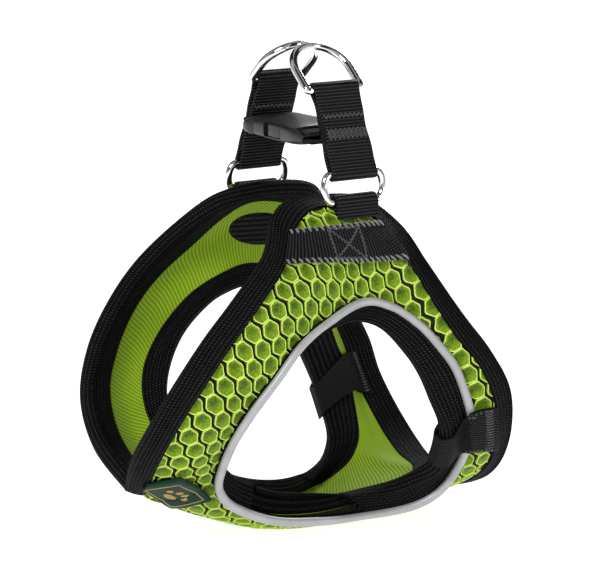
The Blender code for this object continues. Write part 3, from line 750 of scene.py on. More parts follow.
# ---------------------------------------------------------------- binding tapes
def arm_profile(width, over_out, over_in):
    """(distance from the seam, height) round a folded tape's section, from its outer arm to its inner."""
    round_start = width + FOLD - FOLD_RADIUS
    rows = [(-over_out - 0.1, TAPE - 1.2), (-over_out - 0.15, TAPE - 0.35), (-over_out + 0.25, TAPE)]

    def arm(sign, start, stop):
        made = []
        for d in np.linspace(start, stop, 26):
            to_fold = round_start - d
            rib = 0.0
            if to_fold < 3.2 * RIB_PITCH:
                rib = 0.20 * math.cos(2 * math.pi * to_fold / RIB_PITCH)
            puff = 0.25 * math.sin(math.pi * min(max(d / width, 0.0), 1.0))
            made.append((d, sign * (TAPE + puff + rib)))
        return made

    rows += arm(1, -over_out + 0.6, round_start)
    for a in np.radians(np.linspace(75, -75, 11)):
        rows.append((round_start + FOLD_RADIUS * math.cos(a) ** 0.8, TAPE * math.sin(a)))
    rows += arm(-1, round_start, -over_in + 0.6)
    rows += [(-over_in + 0.25, -TAPE), (-over_in - 0.15, -TAPE + 0.35), (-over_in - 0.1, -TAPE + 1.2)]
    return rows


def folded_tape(seam, edge, n_seam, n_edge, inward, over_out, over_in, wobble):
    """Rings of a folded tape at every station."""
    width = np.linalg.norm(edge - seam, axis=1)
    out = unit(edge - seam)
    rings = []
    for i in range(len(seam)):
        ring = []
        for d, h in arm_profile(width[i], over_out, over_in):
            share = min(max(d / width[i], 0.0), 1.0)
            n = n_seam[i] * (1 - share) + n_edge[i] * share
            n = n / max(np.linalg.norm(n), 1e-9)
            along = out[i] * d if d >= 0 else inward[i] * -d
            ring.append(seam[i] + along + n * (h + wobble[i] * np.sign(h)))
        rings.append(ring)
    return np.array(rings)


def waver(count, size, seed):
    """A slow random waver that closes on itself."""
    rng = np.random.default_rng(seed)
    a = 2 * np.pi * np.arange(count) / count
    total = np.zeros(count)
    for k in range(3, 16):
        total += rng.standard_normal() * np.cos(k * a + rng.uniform(0, 6.28)) / k**0.5
    return size * total / np.abs(total).max()


def edge_binding():
    """One tape round the neck, the back and the rear edge of both sides."""
    count = 210
    t = np.linspace(0.0, BELLY_START, count)
    seam, edge = panel_rim(t), outer_edge(t)
    edge = edge - unit(edge - seam) * EDGE_TRIM
    ahead = panel_rim(np.minimum(t + 0.05, BELLY_START)) - panel_rim(np.maximum(t - 0.05, 0.0))
    ahead[0], ahead[-1] = (0, -1, 0), (0, 1, 0)
    out = unit(edge - seam)
    n = outward(unit(np.cross(ahead, out)), seam)
    inward = unit(surface(t, 2.7) - surface(t, 3.0))
    inward[0, 1] = inward[-1, 1] = 0
    n_seam = normal(t, 3.0)
    n_seam[0, 1] = n_seam[-1, 1] = n[0, 1] = n[-1, 1] = 0
    left = folded_tape(seam, edge, unit(n_seam), unit(n), unit(inward), OUTER_ARM_OVER, INNER_ARM_OVER,
                       waver(count, WAVER, 3))
    left[..., 1] = np.minimum(left[..., 1], 0.0)
    left[..., 2] = np.maximum(left[..., 2], REST_Z)
    right = left[-2:0:-1].copy()
    right[..., 1] *= -1
    obj = swept("vest_edge_tape", np.concatenate([left, right]), [tape], close_rows=True)
    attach(obj, "vest")
    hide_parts("edge_binding")


def leg_binding(side, sign):
    """Tape folded over the leg hole's edge."""
    count = 300
    t = STATIONS * np.arange(count) / count
    seam, edge = surface(t, 0.97), surface(t, 0.0)
    inward = unit(surface(t, 1.25) - surface(t, 1.0))
    rings = folded_tape(seam, edge, normal(t, 1.0), normal(t, 0.0), inward, LEG_OUTER_OVER, LEG_INNER_OVER,
                        waver(count, WAVER, 5))
    rings[..., 2] = np.maximum(rings[..., 2], REST_Z)
    rings[..., 1] = np.minimum(rings[..., 1], -0.15)
    obj = swept(f"{side}_leg_tape", mirror(rings, sign), [tape], close_rows=True)
    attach(obj, "vest")
    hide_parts(f"{side}_leg_binding")


def piping(side, sign):
    """The reflective cord in the seam between the leg binding and the mesh."""
    count = 340
    t = STATIONS * np.arange(count) / count
    n = normal(t, 1.0)
    across = unit(surface(t, 1.1) - surface(t, 0.9))
    centre = surface(t, 1.01) + n * (TAPE + PIPING_LIFT)
    centre = centre + across * waver(count, WAVER, 11)[:, None]
    a = 2 * np.pi * np.arange(18) / 18
    radius = PIPING_RADIUS * (1 + waver(count, 0.02, 12))[:, None, None]
    ring = across[:, None] * np.cos(a)[None, :, None] + 0.9 * n[:, None] * np.sin(a)[None, :, None]
    rings = mirror(centre[:, None] + radius * ring, sign)
    obj = swept(f"{side}_piping", rings, [reflective], close_rows=True)
    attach(obj, "vest")
    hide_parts(f"{side}_reflective_piping")


# ---------------------------------------------------------------- threads
def threads(name, stitches, mat, body, radius, lift=0.35):
    """Short arched stitches of thread: each is (start, end, the way it stands up)."""
    points, faces = [], []
    steps, sides = 6, 7
    for start, end, up in stitches:
        up = unit(up)
        along = unit(end - start)
        side = unit(np.cross(along, up))
        base = len(points)
        for k in range(steps):
            u = k / (steps - 1)
            centre = start + (end - start) * u + up * (lift * math.sin(math.pi * u) - 0.1)
            r = radius * (0.55 + 0.45 * math.sin(math.pi * u) ** 0.5)
            for j in range(sides):
                a = 2 * math.pi * j / sides
                points.append(centre + side * r * math.cos(a) + up * r * math.sin(a))
        quads, _, _ = grid_faces(steps, sides, close_cols=True, start=base)
        faces += quads.tolist()
        faces += [list(range(base, base + sides))[::-1]]
        faces += [list(range(base + (steps - 1) * sides, base + steps * sides))]
    obj = mesh_object(name, points, faces, [mat])
    fix_normals(obj)
    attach(obj, body)
    return obj


def zigzag(place, u0, v0, u1, v1, pitch, half):
    """Stitches of a zigzag row between two places of a sheet; place(u, v) gives a point and its normal."""
    (a, _), (b, _) = place(u0, v0), place(u1, v1)
    count = max(int(np.linalg.norm(b - a) / pitch), 2)
    along = np.array((u1 - u0, v1 - v0))
    ahead = unit(b - a)
    corners = []
    for k in range(count + 1):
        p, n = place(*(np.array((u0, v0)) + along * k / count))
        corners.append((p + np.cross(n, ahead) * half * (-1) ** k, n))
    return [(corners[k][0], corners[k + 1][0], corners[k][1]) for k in range(count)]


# ---------------------------------------------------------------- pieces sewn on the panel
def laid(tree, corners, direction, lift):
    """place(u, v) on the outer face for a four-cornered patch: the point above the face and the normal."""
    toward = Vector(direction).normalized()
    a, b, c, d = [Vector(p) for p in corners]

    def place(u, v):
        p = a * (1 - u) * (1 - v) + b * u * (1 - v) + c * u * v + d * (1 - u) * v
        hit, n, _, _ = tree.ray_cast(p - toward * 60, toward, RAY)
        if hit is None:
            hit, n, _, _ = tree.find_nearest(p)
        if n.dot(toward) > 0:
            n = -n
        return np.array(hit + n * lift), np.array(n)

    return place


def slab(name, place, counts, thickness, mat, sign, round_mm=0.5):
    """A closed sheet with rounded edges whose underside follows place."""
    nu, nv = counts
    us, vs = np.linspace(0, 1, nu), np.linspace(0, 1, nv)
    grid = [[place(u, v) for v in vs] for u in us]
    size_u = np.linalg.norm(grid[-1][nv // 2][0] - grid[0][nv // 2][0])
    size_v = np.linalg.norm(grid[nu // 2][-1][0] - grid[nu // 2][0][0])
    rings = []
    for i in range(nu):
        low, high = [], []
        for j in range(nv):
            p, n = grid[i][j]
            near = min(us[i] * size_u, (1 - us[i]) * size_u, vs[j] * size_v, (1 - vs[j]) * size_v)
            share = math.sqrt(max(1 - (1 - min(near / round_mm, 1.0)) ** 2, 0.0))
            low.append(p + n * thickness * 0.5 * (1 - share))
            high.append(p + n * (thickness * (0.5 + 0.5 * share) + 0.02))
        rings.append(low + high[::-1])
    return swept(name, mirror(rings, sign), [mat], caps=True)


STRIP_CORNERS = [(-31.5, -60, 125.6), (25.5, -60, 121.6), (18, -60, 138), (-24.5, -60, 138.6)]
STRIP_TOWARD = (0, 1, -0.25)
STRIP_LIFT = 0.5


def side_only(stitches, sign):
    return [(mirror(a, sign), mirror(b, sign), mirror(n, sign)) for a, b, n in stitches]


def back_strip(side, sign):
    """Webbing along the top edge, overcast on both long edges and sewn down with a box and cross."""
    place = laid(cover_tree, STRIP_CORNERS, STRIP_TOWARD, STRIP_LIFT)
    obj = slab(f"{side}_strip", place, (90, 26), PLY, webbing, sign)
    top = laid(cover_tree, STRIP_CORNERS, STRIP_TOWARD, STRIP_LIFT + PLY)
    whip = []
    for edge, count in ((0.06, 22), (0.95, 17)):
        for k in range(count):
            u = 0.04 + 0.92 * k / (count - 1)
            (a, n), (b, _) = top(u, edge - 0.09), top(max(u - 0.03, 0.0), edge + 0.06)
            whip.append((a, b, n))
    box = []
    corners = [(0.38, 0.10), (0.64, 0.10), (0.66, 0.90), (0.36, 0.90)]
    lines = list(zip(corners, corners[1:] + corners[:1]))
    lines += [(corners[0], corners[2]), (corners[1], corners[3])]
    for start, end in lines:
        box += zigzag(top, *start, *end, 0.85, 0.55)
    edge_stitch = threads(f"{side}_strip_whip", side_only(whip, sign), thread, "vest", radius=0.46, lift=0.4)
    box_stitch = threads(f"{side}_strip_box", side_only(box, sign), dark_thread, "vest", radius=0.34)
    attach(obj, "vest")
    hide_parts(f"{side}_back_strip")


def side_patch(side, sign):
    """Webbing folded round the hole's edge over the rear band's seam, outside and inside."""
    over = 2 * PIPING_RADIUS + 0.35
    path = [(2.93, 3.9), (1.95, 3.9), (1.6, 3.7 + over), (0.72, 3.7 + over), (0.5, 3.9), (0.0, 3.7)]
    back = [(0.0, -3.8), (1.0, -3.9), (2.0, -3.9), (2.93, -3.9)]
    rings, tops = [], []
    for t in np.linspace(SEAM_STATION - 0.64, SEAM_STATION + 0.64, 34):
        edge = surface(t, 0.0)
        out = unit(edge - surface(t, 0.2))
        n = normal(t, 0.0)

        def line(extra):
            points = [surface(t, s) + normal(t, s) * (o + extra) for s, o in path]
            points += [edge + out * (FOLD_RADIUS + extra) + n * h for h in (1.6, -1.6)]
            points += [surface(t, s) + normal(t, s) * (o - extra) for s, o in back]
            smooth = curve([(k, tuple(p)) for k, p in enumerate(points)])
            return smooth(np.linspace(0, len(points) - 1, 70))

        inner, outer = line(0.0), line(PLY)
        tops.append(outer)
        rings.append(np.concatenate([inner, outer[::-1]]))
    obj = swept(f"{side}_patch", mirror(rings, sign), [twill], caps=True)
    tops = np.array(tops)

    def overcast(i, j, step, reach):
        p = tops[i, j]
        up = unit(np.cross(tops[i + step, j] - p, tops[i, j + 1] - p))
        return p, tops[i + step, j + reach], up * np.sign(up @ (p - tops[i].mean(axis=0)))

    whip = [overcast(i, j, 1, reach) for j, reach in ((2, 3), (-3, -3)) for i in range(1, 32, 2)]
    whip += [overcast(i, j, step, 1) for i, step in ((1, 1), (32, -1)) for j in range(2, 24, 2)]
    stitch = threads(f"{side}_patch_whip", side_only(whip, sign), dark_thread, "vest", radius=0.36)
    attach(obj, "vest")
    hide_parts(f"{side}_side_patch")
    length = lengths(tops[17], False)[-1] * MM
    width = lengths(tops[:, 6], False)[-1] * MM


LABEL_CORNERS = [(-76, -3.0, 38.5), (-60.5, -3.0, 24.5), (-50, -15.5, 25.5), (-65, -20, 43)]
LABEL_TOWARD = (0.53, 0.57, 0.63)
LABEL_THICK = 1.9


def badge():
    """A moulded rubber badge with a raised gilt frame and a plain paw."""
    place = laid(cover_tree, LABEL_CORNERS, LABEL_TOWARD, 0.5)
    body = slab("badge_body", place, (44, 44), LABEL_THICK, rubber, -1, round_mm=0.7)
    top = laid(cover_tree, LABEL_CORNERS, LABEL_TOWARD, 0.5 + LABEL_THICK + 0.05)
    frame_path, inset = [], 0.13
    corners = [(inset, inset), (1 - inset, inset), (1 - inset, 1 - inset), (inset, 1 - inset)]
    steps = 14
    for (u0, v0), (u1, v1) in zip(corners, corners[1:] + corners[:1]):
        frame_path += [top(u0 + (u1 - u0) * k / steps, v0 + (v1 - v0) * k / steps)[0] for k in range(steps)]
    border = swept("badge_border", wire(frame_path, 0.26, sides=8), [gold], close_rows=True)
    pads = [(0.50, 0.40, 0.13, 0.10), (0.30, 0.56, 0.055, 0.07), (0.43, 0.66, 0.055, 0.075),
            (0.57, 0.66, 0.055, 0.075), (0.70, 0.56, 0.055, 0.07)]
    made = []
    for cu, cv, ru, rv in pads:
        rings = []
        for share, height in ((1.0, 0.0), (0.95, 0.22), (0.75, 0.32), (0.3, 0.36)):
            ring = []
            for k in range(20):
                a = 2 * math.pi * k / 20
                p, n = top(cu + ru * share * math.cos(a), cv + rv * share * math.sin(a))
                ring.append(p + n * (height - 0.05))
            rings.append(ring)
        made.append(swept("paw", rings, [gold], caps=True))
    paw = joined("badge_paw", made)
    for obj in (body, border, paw):
        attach(obj, "vest")
    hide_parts("chest_label")


def tongue():
    """The left half's rounded end, bound with the same tape, that reaches over the spine under the right."""
    centre = np.array((-20.0, -2.5, 127.6))
    root = unit(np.array((0.30, -0.93, 0.17)))
    n = unit(np.cross(root, (0, 0, 1.0)))
    up = np.cross(n, root)
    rings = []
    for sign, shares in ((1, np.linspace(0.02, 1, 40)), (-1, np.linspace(0.985, 0.02, 14))):
        for r in shares:
            ring = []
            for k in range(72):
                a = 2 * math.pi * k / 72
                rib = 0.17 * math.cos(2 * math.pi * (1 - r) * 6.5 / RIB_PITCH) * (r > 0.35)
                height = sign * (2.2 * math.sqrt(max(1 - r**4, 0)) + rib * (1 if r < 0.97 else 0))
                ring.append(centre + root * 16 * r * math.cos(a) + up * 6.4 * r * math.sin(a) + n * height)
            rings.append(ring)
    obj = swept("back_tongue", rings, [tape], caps=True)
    fabric = obj.data.uv_layers["fabric"].data
    for loop in obj.data.loops:
        away = np.array(obj.data.vertices[loop.vertex_index].co) / MM - centre
        fabric[loop.index].uv = (away @ root, away @ up)
    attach(obj, "vest")


# ---------------------------------------------------------------- rings, straps and buckle
D_BAR = (21.0, 183.5)
BUCKLE_BAR = (19.0, 165.5)
SIDES = {
    "left": dict(sign=-1, ring_x=6.0, loop_bar=(31.0, 140.6), top_bar=(29.8, 151.6), foot=136.3),
    "right": dict(sign=1, ring_x=0.0, loop_bar=(33.0, 137.2), top_bar=(31.2, 148.2), foot=134.0),
}
STRAP_X = 3.0
BUCKLE_X = -1.0
RING_WIRE = 1.5
D_WIRE = 1.65
D_LEAN = 50.0
D_HEIGHT = 23.0
RING_LENGTH = 21.0
BAR_RADIUS = 1.2
RING_GAP = 0.2                  # between a wire or a bar and the webbing round it
WEFT_PITCH = 1.3                # ribs of the strap webbing
WEFT_HEIGHT = 0.1
STRAP_END = 6.0                 # where the strap's flat part starts, from either ring
STRAP_HALF = 1.5                # from the strap's middle to each outer ply's middle
STRAP_BOW = 0.35                # how far the outer ply stands off in its middle


def softened(path, closed, rounds):
    """A dense path with its corners rounded."""
    path = np.asarray(path, float)
    for _ in range(rounds):
        if closed:
            path = (np.roll(path, 1, axis=0) + 2 * path + np.roll(path, -1, axis=0)) / 4
        else:
            path[1:-1] = (path[:-2] + 2 * path[1:-1] + path[2:]) / 4
    return path


def resampled(path, step, closed):
    run = lengths(path, closed)
    row = np.concatenate([path, path[:1]]) if closed else path
    count = max(int(run[-1] / step), 8)
    at = np.linspace(0, run[-1], count, endpoint=not closed)
    return np.stack([np.interp(at, run, row[:, k]) for k in range(row.shape[1])], axis=1)


def smoothed(path, step, closed, rounds):
    return softened(resampled(np.asarray(path, float), step, closed), closed, rounds)


def side_points(side, x, path):
    """(across, height) points at x as points in space."""
    path = np.asarray(path, float)
    x = np.broadcast_to(x, (len(path),))
    return np.stack([x, SIDES[side]["sign"] * path[:, 0], path[:, 1]], axis=1)


def oval_ring(side):
    """The wire ring between the vest's webbing loop and the strap."""
    info = SIDES[side]
    low, high = np.array(info["loop_bar"]), np.array(info["top_bar"])
    middle, up = (low + high) / 2, (high - low) / 2
    xs, path = [], []
    for end, start in ((1, -90), (-1, 90)):
        for a in np.radians(np.linspace(start, start + 180, 30)):
            xs.append(info["ring_x"] + end * (RING_LENGTH / 2) + np.linalg.norm(up) * 0.55 * math.cos(a))
            path.append(middle + up * math.sin(a))
    points = smoothed(side_points(side, np.array(xs), path), 0.5, True, 8)
    obj = swept(f"{side}_ring", wire(points, RING_WIRE, sides=20), [chrome], close_rows=True)
    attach(obj, f"{side}_ring")
    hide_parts(f"{side}_oval_ring")


def d_ring(side):
    """The lead ring in the strap's top end: a straight bar and a round bow that leans inwards."""
    lean = math.radians(D_LEAN)
    up = np.array((-math.sin(lean), math.cos(lean)))
    base = np.array(D_BAR)
    half = WEBBING / 2 + D_WIRE + 0.6
    xs, path = [], []
    for a in np.linspace(0, math.pi, 50):
        xs.append(STRAP_X + half * math.cos(a))
        path.append(base + up * (D_HEIGHT - half + half * math.sin(a)))
    for x in np.linspace(-half, half, 20):
        xs.append(STRAP_X + x)
        path.append(base)
    points = smoothed(side_points(side, np.array(xs), path), 0.5, True, 10)
    obj = swept(f"{side}_lead_ring", wire(points, D_WIRE, sides=20), [chrome], close_rows=True)
    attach(obj, f"{side}_d_ring")
    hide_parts(f"{side}_d_ring")


def band(name, side, path, x_at, width, mat, closed=False, thickness=PLY):
    """A band of webbing along a path in the (across, height) plane, with its weft ribs."""
    rib = WEFT_PITCH
    path = resampled(np.asarray(path, float), rib / 7, closed)
    run = lengths(path, closed)[: len(path)]
    if closed:
        ahead = unit(np.roll(path, -1, axis=0) - np.roll(path, 1, axis=0))
        rib = run[-1] / round(run[-1] / rib)
    else:
        ahead = unit(np.gradient(path, axis=0))
    out = np.stack([ahead[:, 1], -ahead[:, 0]], axis=1)
    half, r = width / 2, thickness / 2
    ridge = WEFT_HEIGHT * np.cos(2 * np.pi * run / rib)
    waver_x = 0.36 * np.sin(run / 5.1) + 0.20 * np.sin(run / 2.3 + 1)
    section = []
    for way in (1, -1):
        section += [(x, way, 0.0) for x in np.linspace(-half + r, half - r, 9)[::way]]
        for a in np.radians((60, 20, -20, -60)):
            section.append((way * (half - r), way * math.sin(a), way * math.cos(a)))
    rings = []
    for k, p in enumerate(path):
        ring = []
        for x, h, push in section:
            lift = h * (r + ridge[k] * (1 - abs(push)))
            q = p + out[k] * lift
            at = x_at(p[1]) + x + push * r + waver_x[k] * (x / half)
            ring.append((at, SIDES[side]["sign"] * q[0], q[1]))
        rings.append(ring)
    return swept(name, rings, [mat], close_rows=closed, caps=not closed)


def turn(centre, radius, start, end):
    """An arc's points in the (across, height) plane."""
    a = np.radians(np.linspace(start, end, 24))
    return [np.array((centre[0] + radius * math.cos(k), centre[1] + radius * math.sin(k))) for k in a]


def strap(side):
    """Doubled webbing from the oval ring to the D-ring, with a third ply between."""
    info = SIDES[side]
    low, high = np.array(info["top_bar"]), np.array(D_BAR)
    along = unit(high - low)
    out = np.array((along[1], -along[0]))
    lean = math.degrees(math.atan2(along[1], along[0]))
    r_low, r_high = RING_WIRE + RING_GAP + PLY / 2, D_WIRE + RING_GAP + PLY / 2
    span = np.linalg.norm(high - low)

    def ring_x(z):
        u = (z - low[1]) / (high[1] - low[1])
        return info["ring_x"] + (STRAP_X - info["ring_x"]) * min(max(u, 0.0), 1.0)

    def ply(way, v, extra=0.0):
        """A point v along the strap's outer ply (way 1) or inner ply (way -1)."""
        bow = STRAP_BOW * math.sin(math.pi * v) if way > 0 else 0.0
        return low + along * (STRAP_END + (span - 2 * STRAP_END) * v) + way * out * (STRAP_HALF + bow + extra)

    path = turn(low, r_low, lean + 125, lean + 235) + [ply(1, k / 10) for k in range(11)]
    path += turn(high, r_high, lean - 62, lean + 62) + [ply(-1, k / 10) for k in range(10, -1, -1)]
    path = smoothed(path, 0.4, True, 6)
    obj = band(f"{side}_webbing", side, path, ring_x, WEBBING, webbing, closed=True)
    middle = [low + along * 5.5, (low + high) / 2, high - along * 5.5]
    core = band(f"{side}_webbing_core", side, middle, ring_x, WEBBING - 0.8, twill, thickness=1.6)
    sign = info["sign"]

    def on_ply(way):
        """place(u, v) on a ply's free face: u across the strap, v along it."""
        def place(u, v):
            p = ply(way, v, PLY / 2 + 0.08)
            point = np.array((ring_x(p[1]) + (u - 0.5) * WEBBING, sign * p[0], p[1]))
            return point, way * np.array((0, sign * out[0], out[1]))
        return place

    rows = []
    for v in (0.77, 0.50, 0.44, 0.38):
        for way in (1, -1):
            rows += zigzag(on_ply(way), 0.05, v, 0.95, v, 0.95, 0.8)
    stitch = threads(f"{side}_webbing_stitches", rows, dark_thread, f"{side}_strap", radius=0.27)
    body = f"{side}_strap"
    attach(obj, body)
    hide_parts(f"{side}_strap")
    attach(core, body)
    lengths(path, True)[-1] * MM


def ring_loop(side):
    """The webbing loop sewn to the vest that holds the oval ring's lower bar."""
    info = SIDES[side]
    bar = np.array(info["loop_bar"])
    r = RING_WIRE + RING_GAP + PLY / 2
    width = RING_LENGTH - 2.4
    foot = info["foot"] - 0.6
    path = [np.array((bar[0] + r + 0.5, foot - 1.5)), np.array((bar[0] + r + 0.1, foot + 2))]
    path += turn(bar, r, 0, 215)
    path += [np.array((bar[0] + 0.6, foot + 1.2)), np.array((bar[0] + 1.2, foot))]
    path = smoothed(path, 0.3, False, 6)
    obj = band(f"{side}_loop", side, path, lambda z: info["ring_x"], width, webbing)
    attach(obj, "vest")
    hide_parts(f"{side}_ring_loop")
    lengths(path, False)[-1] * MM


def buckle_loop(side):
    """The short webbing loop that holds a buckle half's bar to its strap."""
    r = BAR_RADIUS + RING_GAP + PLY / 2
    w, z = BUCKLE_BAR
    path = [np.array((w + 5.6, z + 1.6)), np.array((w + 3.4, z + 1.3))] + turn((w, z), r, 55, 305)
    path += [np.array((w + 3.4, z - 1.3)), np.array((w + 6.2, z - 1.6))]
    path = smoothed(path, 0.3, False, 4)
    obj = band(f"{side}_buckle_loop", side, path, lambda z: BUCKLE_X, WEBBING - 0.4, webbing)
    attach(obj, f"{side}_strap")
    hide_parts(f"{side}_buckle_tab")
    lengths(path, False)[-1] * MM


# ---------------------------------------------------------------- buckle
BUCKLE_HALF_WIDTH = 12.2
BUCKLE_HALF_THICK = 4.4
THROAT_HALF_WIDTH = 10.4
THROAT_HALF_THICK = 2.9
MOUTH_Y = 13.2
ARM_ROOT_Y = 12.6
ARM_X = 8.3


def rounded_body(name, sections):
    """A body lofted along Y from (y, half width, half thickness, drop) knots with rounded sections."""
    power = 4.0
    count = 48
    shape = curve([(k, tuple(row)) for k, row in enumerate(sections)])
    rings = []
    for at in np.linspace(0, len(sections) - 1, 6 * (len(sections) - 1) + 1):
        y, half, thick, drop = shape(at)
        ring = []
        for a in 2 * np.pi * np.arange(count) / count:
            c, s = math.cos(a), math.sin(a)
            ring.append((BUCKLE_X + half * np.sign(c) * abs(c) ** (2 / power), y,
                         BUCKLE_BAR[1] - drop + thick * np.sign(s) * abs(s) ** (2 / power)))
        rings.append(ring)
    return swept(name, rings, [plastic], caps=True)


def block(name, low, high):
    xs, ys, zs = zip(low, high)
    points = [(x, y, z) for x in xs for y in ys for z in zs]
    faces = [(0, 1, 3, 2), (4, 6, 7, 5), (0, 4, 5, 1), (2, 3, 7, 6), (0, 2, 6, 4), (1, 5, 7, 3)]
    obj = mesh_object(name, points, faces, [plastic], smooth=False)
    fix_normals(obj)
    return obj


def rod(name, start, end, radius):
    rings = wire(np.linspace(start, end, 9), radius, sides=20, closed=False, flat=np.array((0, 0, 1.0)))
    return swept(name, rings, [plastic], caps=True)


def applied(obj, tool, operation):
    """A boolean with a helper that is removed afterwards."""
    modifier = obj.modifiers.new("cut", "BOOLEAN")
    modifier.operation = operation
    modifier.object = tool
    modifier.solver = "EXACT"
    bpy.context.view_layer.update()
    dg = bpy.context.evaluated_depsgraph_get()
    mesh = bpy.data.meshes.new_from_object(obj.evaluated_get(dg))
    old = obj.data
    obj.modifiers.clear()
    obj.data = mesh
    mesh.name = obj.name
    bpy.data.meshes.remove(old)
    bpy.data.objects.remove(tool)


def finished_plastic(obj, body, node, bevel):
    """Rounded edges on a moulded piece, and what it rides and replaces."""
    modifier = obj.modifiers.new("edges", "BEVEL")
    modifier.width = bevel * MM
    modifier.segments = 3
    modifier.limit_method = "ANGLE"
    modifier.angle_limit = math.radians(38)
    obj.data.shade_smooth()
    obj.data.set_sharp_from_angle(angle=math.radians(42))
    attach(obj, body)
    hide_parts(node)


def webbing_bar(body, bar, low, high):
    """The webbing's slot through a buckle half, from low to high beside the bar that crosses it."""
    x, z = BUCKLE_X, BUCKLE_BAR[1]
    half = WEBBING / 2 + 0.4
    bar_half = BUCKLE_HALF_WIDTH - 1.2
    applied(body, block("slot", (x - half, bar + low, z - 8), (x + half, bar + high, z + 8)), "DIFFERENCE")
    applied(body, rod("bar", (x - bar_half, bar, z), (x + bar_half, bar, z), BAR_RADIUS), "UNION")


def socket():
    """The half with the throat, a window through both sides and four grip grooves above and below."""
    x, z, bar = BUCKLE_X, BUCKLE_BAR[1], -BUCKLE_BAR[0]
    w, t = BUCKLE_HALF_WIDTH, BUCKLE_HALF_THICK
    body = rounded_body("socket_shell", [
        (bar - 2.4, w - 0.9, 2.3, 0.6), (bar + 1.0, w - 0.2, 3.0, 0.35), (-14.5, w + 0.1, 3.9, 0.1),
        (-9.0, w - 0.1, t, -0.1), (-1.0, w - 0.3, t + 0.1, -0.1), (7.0, w, t, 0), (MOUTH_Y, w, t - 0.1, 0)])
    applied(body, block("throat", (x - THROAT_HALF_WIDTH, -8, z - THROAT_HALF_THICK),
                        (x + THROAT_HALF_WIDTH, MOUTH_Y + 5, z + THROAT_HALF_THICK)), "DIFFERENCE")
    applied(body, block("window", (x - 20, -6.5, z - THROAT_HALF_THICK + 0.2),
                        (x + 20, 5.5, z + THROAT_HALF_THICK - 0.2)), "DIFFERENCE")
    webbing_bar(body, bar, -8, 3.2)
    for height in (z - t - 0.42, z + t + 0.42):
        for k in range(4):
            y = 7.6 + 1.3 * k
            applied(body, rod("groove", (x - 7, y, height), (x + 7, y, height), 0.5), "DIFFERENCE")
    finished_plastic(body, "socket", "buckle_socket", 0.4)


def plug():
    """The half with the middle tongue; its two latch arms are pieces of their own."""
    x, z, bar = BUCKLE_X, BUCKLE_BAR[1], BUCKLE_BAR[0]
    w = BUCKLE_HALF_WIDTH
    body = rounded_body("plug_base", [
        (MOUTH_Y + 0.35, w - 0.1, 4.2, 0), (MOUTH_Y + 1.4, w + 0.3, 4.3, 0), (bar - 2.0, w + 0.8, 3.9, 0.1),
        (bar + 1.0, w + 0.5, 3.2, 0.25), (bar + 2.4, w - 0.2, 2.4, 0.4)])
    webbing_bar(body, bar, -3.2, 8)
    applied(body, block("tongue", (x - 3, -4, z - 1.6), (x + 3, MOUTH_Y + 1.2, z + 1.6)), "UNION")
    finished_plastic(body, "plug", "buckle_plug", 0.4)


def latch_arm(place, sign):
    """A sprung arm of the plug whose pad fills the socket's side window."""
    outer = [(ARM_ROOT_Y, 1.4), (8.5, 1.2), (4.9, 1.7), (3.8, 3.0), (-0.6, 3.2), (-5.0, 3.0), (-6.0, 1.2)]
    inner = [(ARM_ROOT_Y, -1.0), (4.0, -1.2), (-3.0, -1.4), (-6.0, -0.6)]
    out_line, in_line = [resampled(smoothed(line, 0.25, False, rounds), 0.25, False)
                         for line, rounds in ((outer, 5), (inner, 3))]
    ring = np.concatenate([out_line, in_line[::-1]])
    middle = ring.mean(axis=0)
    rings = []
    for height, share in ((-2.45, 0.88), (-2.3, 0.97), (-2.0, 1.0), (2.0, 1.0), (2.3, 0.97), (2.45, 0.88)):
        loop = middle + (ring - middle) * np.array((1.0, share))
        rings.append([(BUCKLE_X + sign * (ARM_X + a), y, BUCKLE_BAR[1] + height) for y, a in loop])
    obj = swept(f"{place}_arm_piece", rings, [plastic], caps=True)
    finished_plastic(obj, f"{place}_arm", f"{place}_latch_arm", 0.15)


for side, info in SIDES.items():
    for make in (panel, honeycomb, leg_binding, piping, side_patch, back_strip):
        make(side, info["sign"])
    for make in (ring_loop, oval_ring, strap, d_ring, buckle_loop):
        make(side)
edge_binding()
badge()
tongue()
socket()
plug()
latch_arm("front", -1)
latch_arm("rear", 1)


# ---------------------------------------------------------------- camera, light, floor
VIEW_AZIMUTH, VIEW_ELEVATION = math.radians(-32), math.radians(12)
VIEW_DISTANCE = 1.1
TARGET = Vector((0.0052, 0.0, 0.0981))      # the picture's middle
PIXELS_PER_METRE = 2500.0                   # in the plane through the target
IMAGE_WIDTH = 598
FLOOR_GLOW = 0.90
WORLD_LIGHT = 0.42


def camera():
    """The camera of the picture."""
    back = Vector((math.sin(VIEW_AZIMUTH) * math.cos(VIEW_ELEVATION),
                   -math.cos(VIEW_AZIMUTH) * math.cos(VIEW_ELEVATION), math.sin(VIEW_ELEVATION)))
    data = bpy.data.cameras.new("camera")
    data.sensor_width = 36.0
    data.lens = 36.0 * PIXELS_PER_METRE * VIEW_DISTANCE / IMAGE_WIDTH
    data.clip_end = 20.0
    cam = bpy.data.objects.new("camera", data)
    cam.location = TARGET + back * VIEW_DISTANCE
    cam.rotation_mode = "QUATERNION"
    cam.rotation_quaternion = (-back).to_track_quat("-Z", "Y")
    bpy.context.scene.collection.objects.link(cam)
    bpy.context.scene.camera = cam


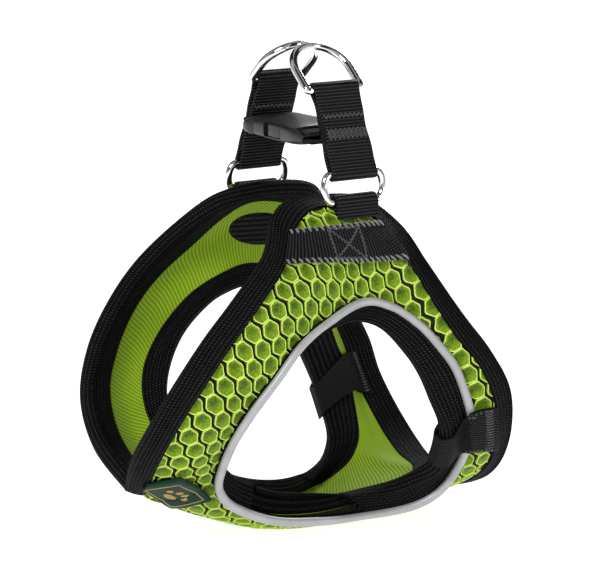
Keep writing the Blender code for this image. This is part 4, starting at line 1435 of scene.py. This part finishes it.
def area_light(name, place, size, watts, target=(0, 0, 0.09)):
    data = bpy.data.lights.new(name, "AREA")
    data.shape = "RECTANGLE"
    data.size, data.size_y = size
    data.energy = watts
    light = bpy.data.objects.new(name, data)
    light.location = place
    light.rotation_mode = "QUATERNION"
    light.rotation_quaternion = (Vector(target) - Vector(place)).to_track_quat("-Z", "Y")
    bpy.context.scene.collection.objects.link(light)


def studio():
    """A glowing paper floor, a bright room with a few dark stripes for the chrome, and three soft lamps."""
    mat, n = new_material("floor_paper", 0.9, colour=(0.42, 0.42, 0.42), specular=0.05)
    fine = n.noise(n.place(), 400.0)
    n.relief(fine, 0.0002, 0.05)
    n.set(Emission_Color=(1, 1, 1, 1), Emission_Strength=FLOOR_GLOW)
    mesh = bpy.data.meshes.new("floor")
    half = 8.0
    mesh.from_pydata([(-half, -half, -0.0005), (half, -half, -0.0005), (half, half, -0.0005),
                      (-half, half, -0.0005)], [], [(0, 1, 2, 3)])
    mesh.materials.append(mat)
    floor = bpy.data.objects.new("floor", mesh)
    bpy.context.scene.collection.objects.link(floor)
    world = bpy.data.worlds.new("studio")
    world.use_nodes = True
    background = world.node_tree.nodes["Background"]
    w = Nodes(world.node_tree, background)
    way = world.node_tree.nodes.new("ShaderNodeTexCoord").outputs["Generated"]
    split = w.add("ShaderNodeSeparateXYZ", Vector=way)
    round_it = w.math("ARCTAN2", split.outputs[1], split.outputs[0])
    stripes = w.math("SINE", w.math("MULTIPLY_ADD", round_it, 4.0, 0.9))
    high = w.math("GREATER_THAN", split.outputs[2], 0.12)
    dark = w.math("MULTIPLY", high, w.math("MULTIPLY_ADD", stripes, 0.5, 0.5))
    w.put(background.inputs["Color"], w.ramp(dark, (0.35, (1.0, 1.0, 1.0)), (0.6, (0.04, 0.04, 0.045))))
    background.inputs["Strength"].default_value = WORLD_LIGHT
    bpy.context.scene.world = world
    area_light("key", (-1.1, -0.5, 1.0), (0.5, 0.5), 16)
    area_light("rim", (0.9, 0.7, 0.8), (0.3, 0.8), 12)
    area_light("front", (0.5, -1.4, 0.55), (0.25, 0.7), 5)
    bpy.context.scene.view_settings.view_transform = "Standard"


camera()
studio()
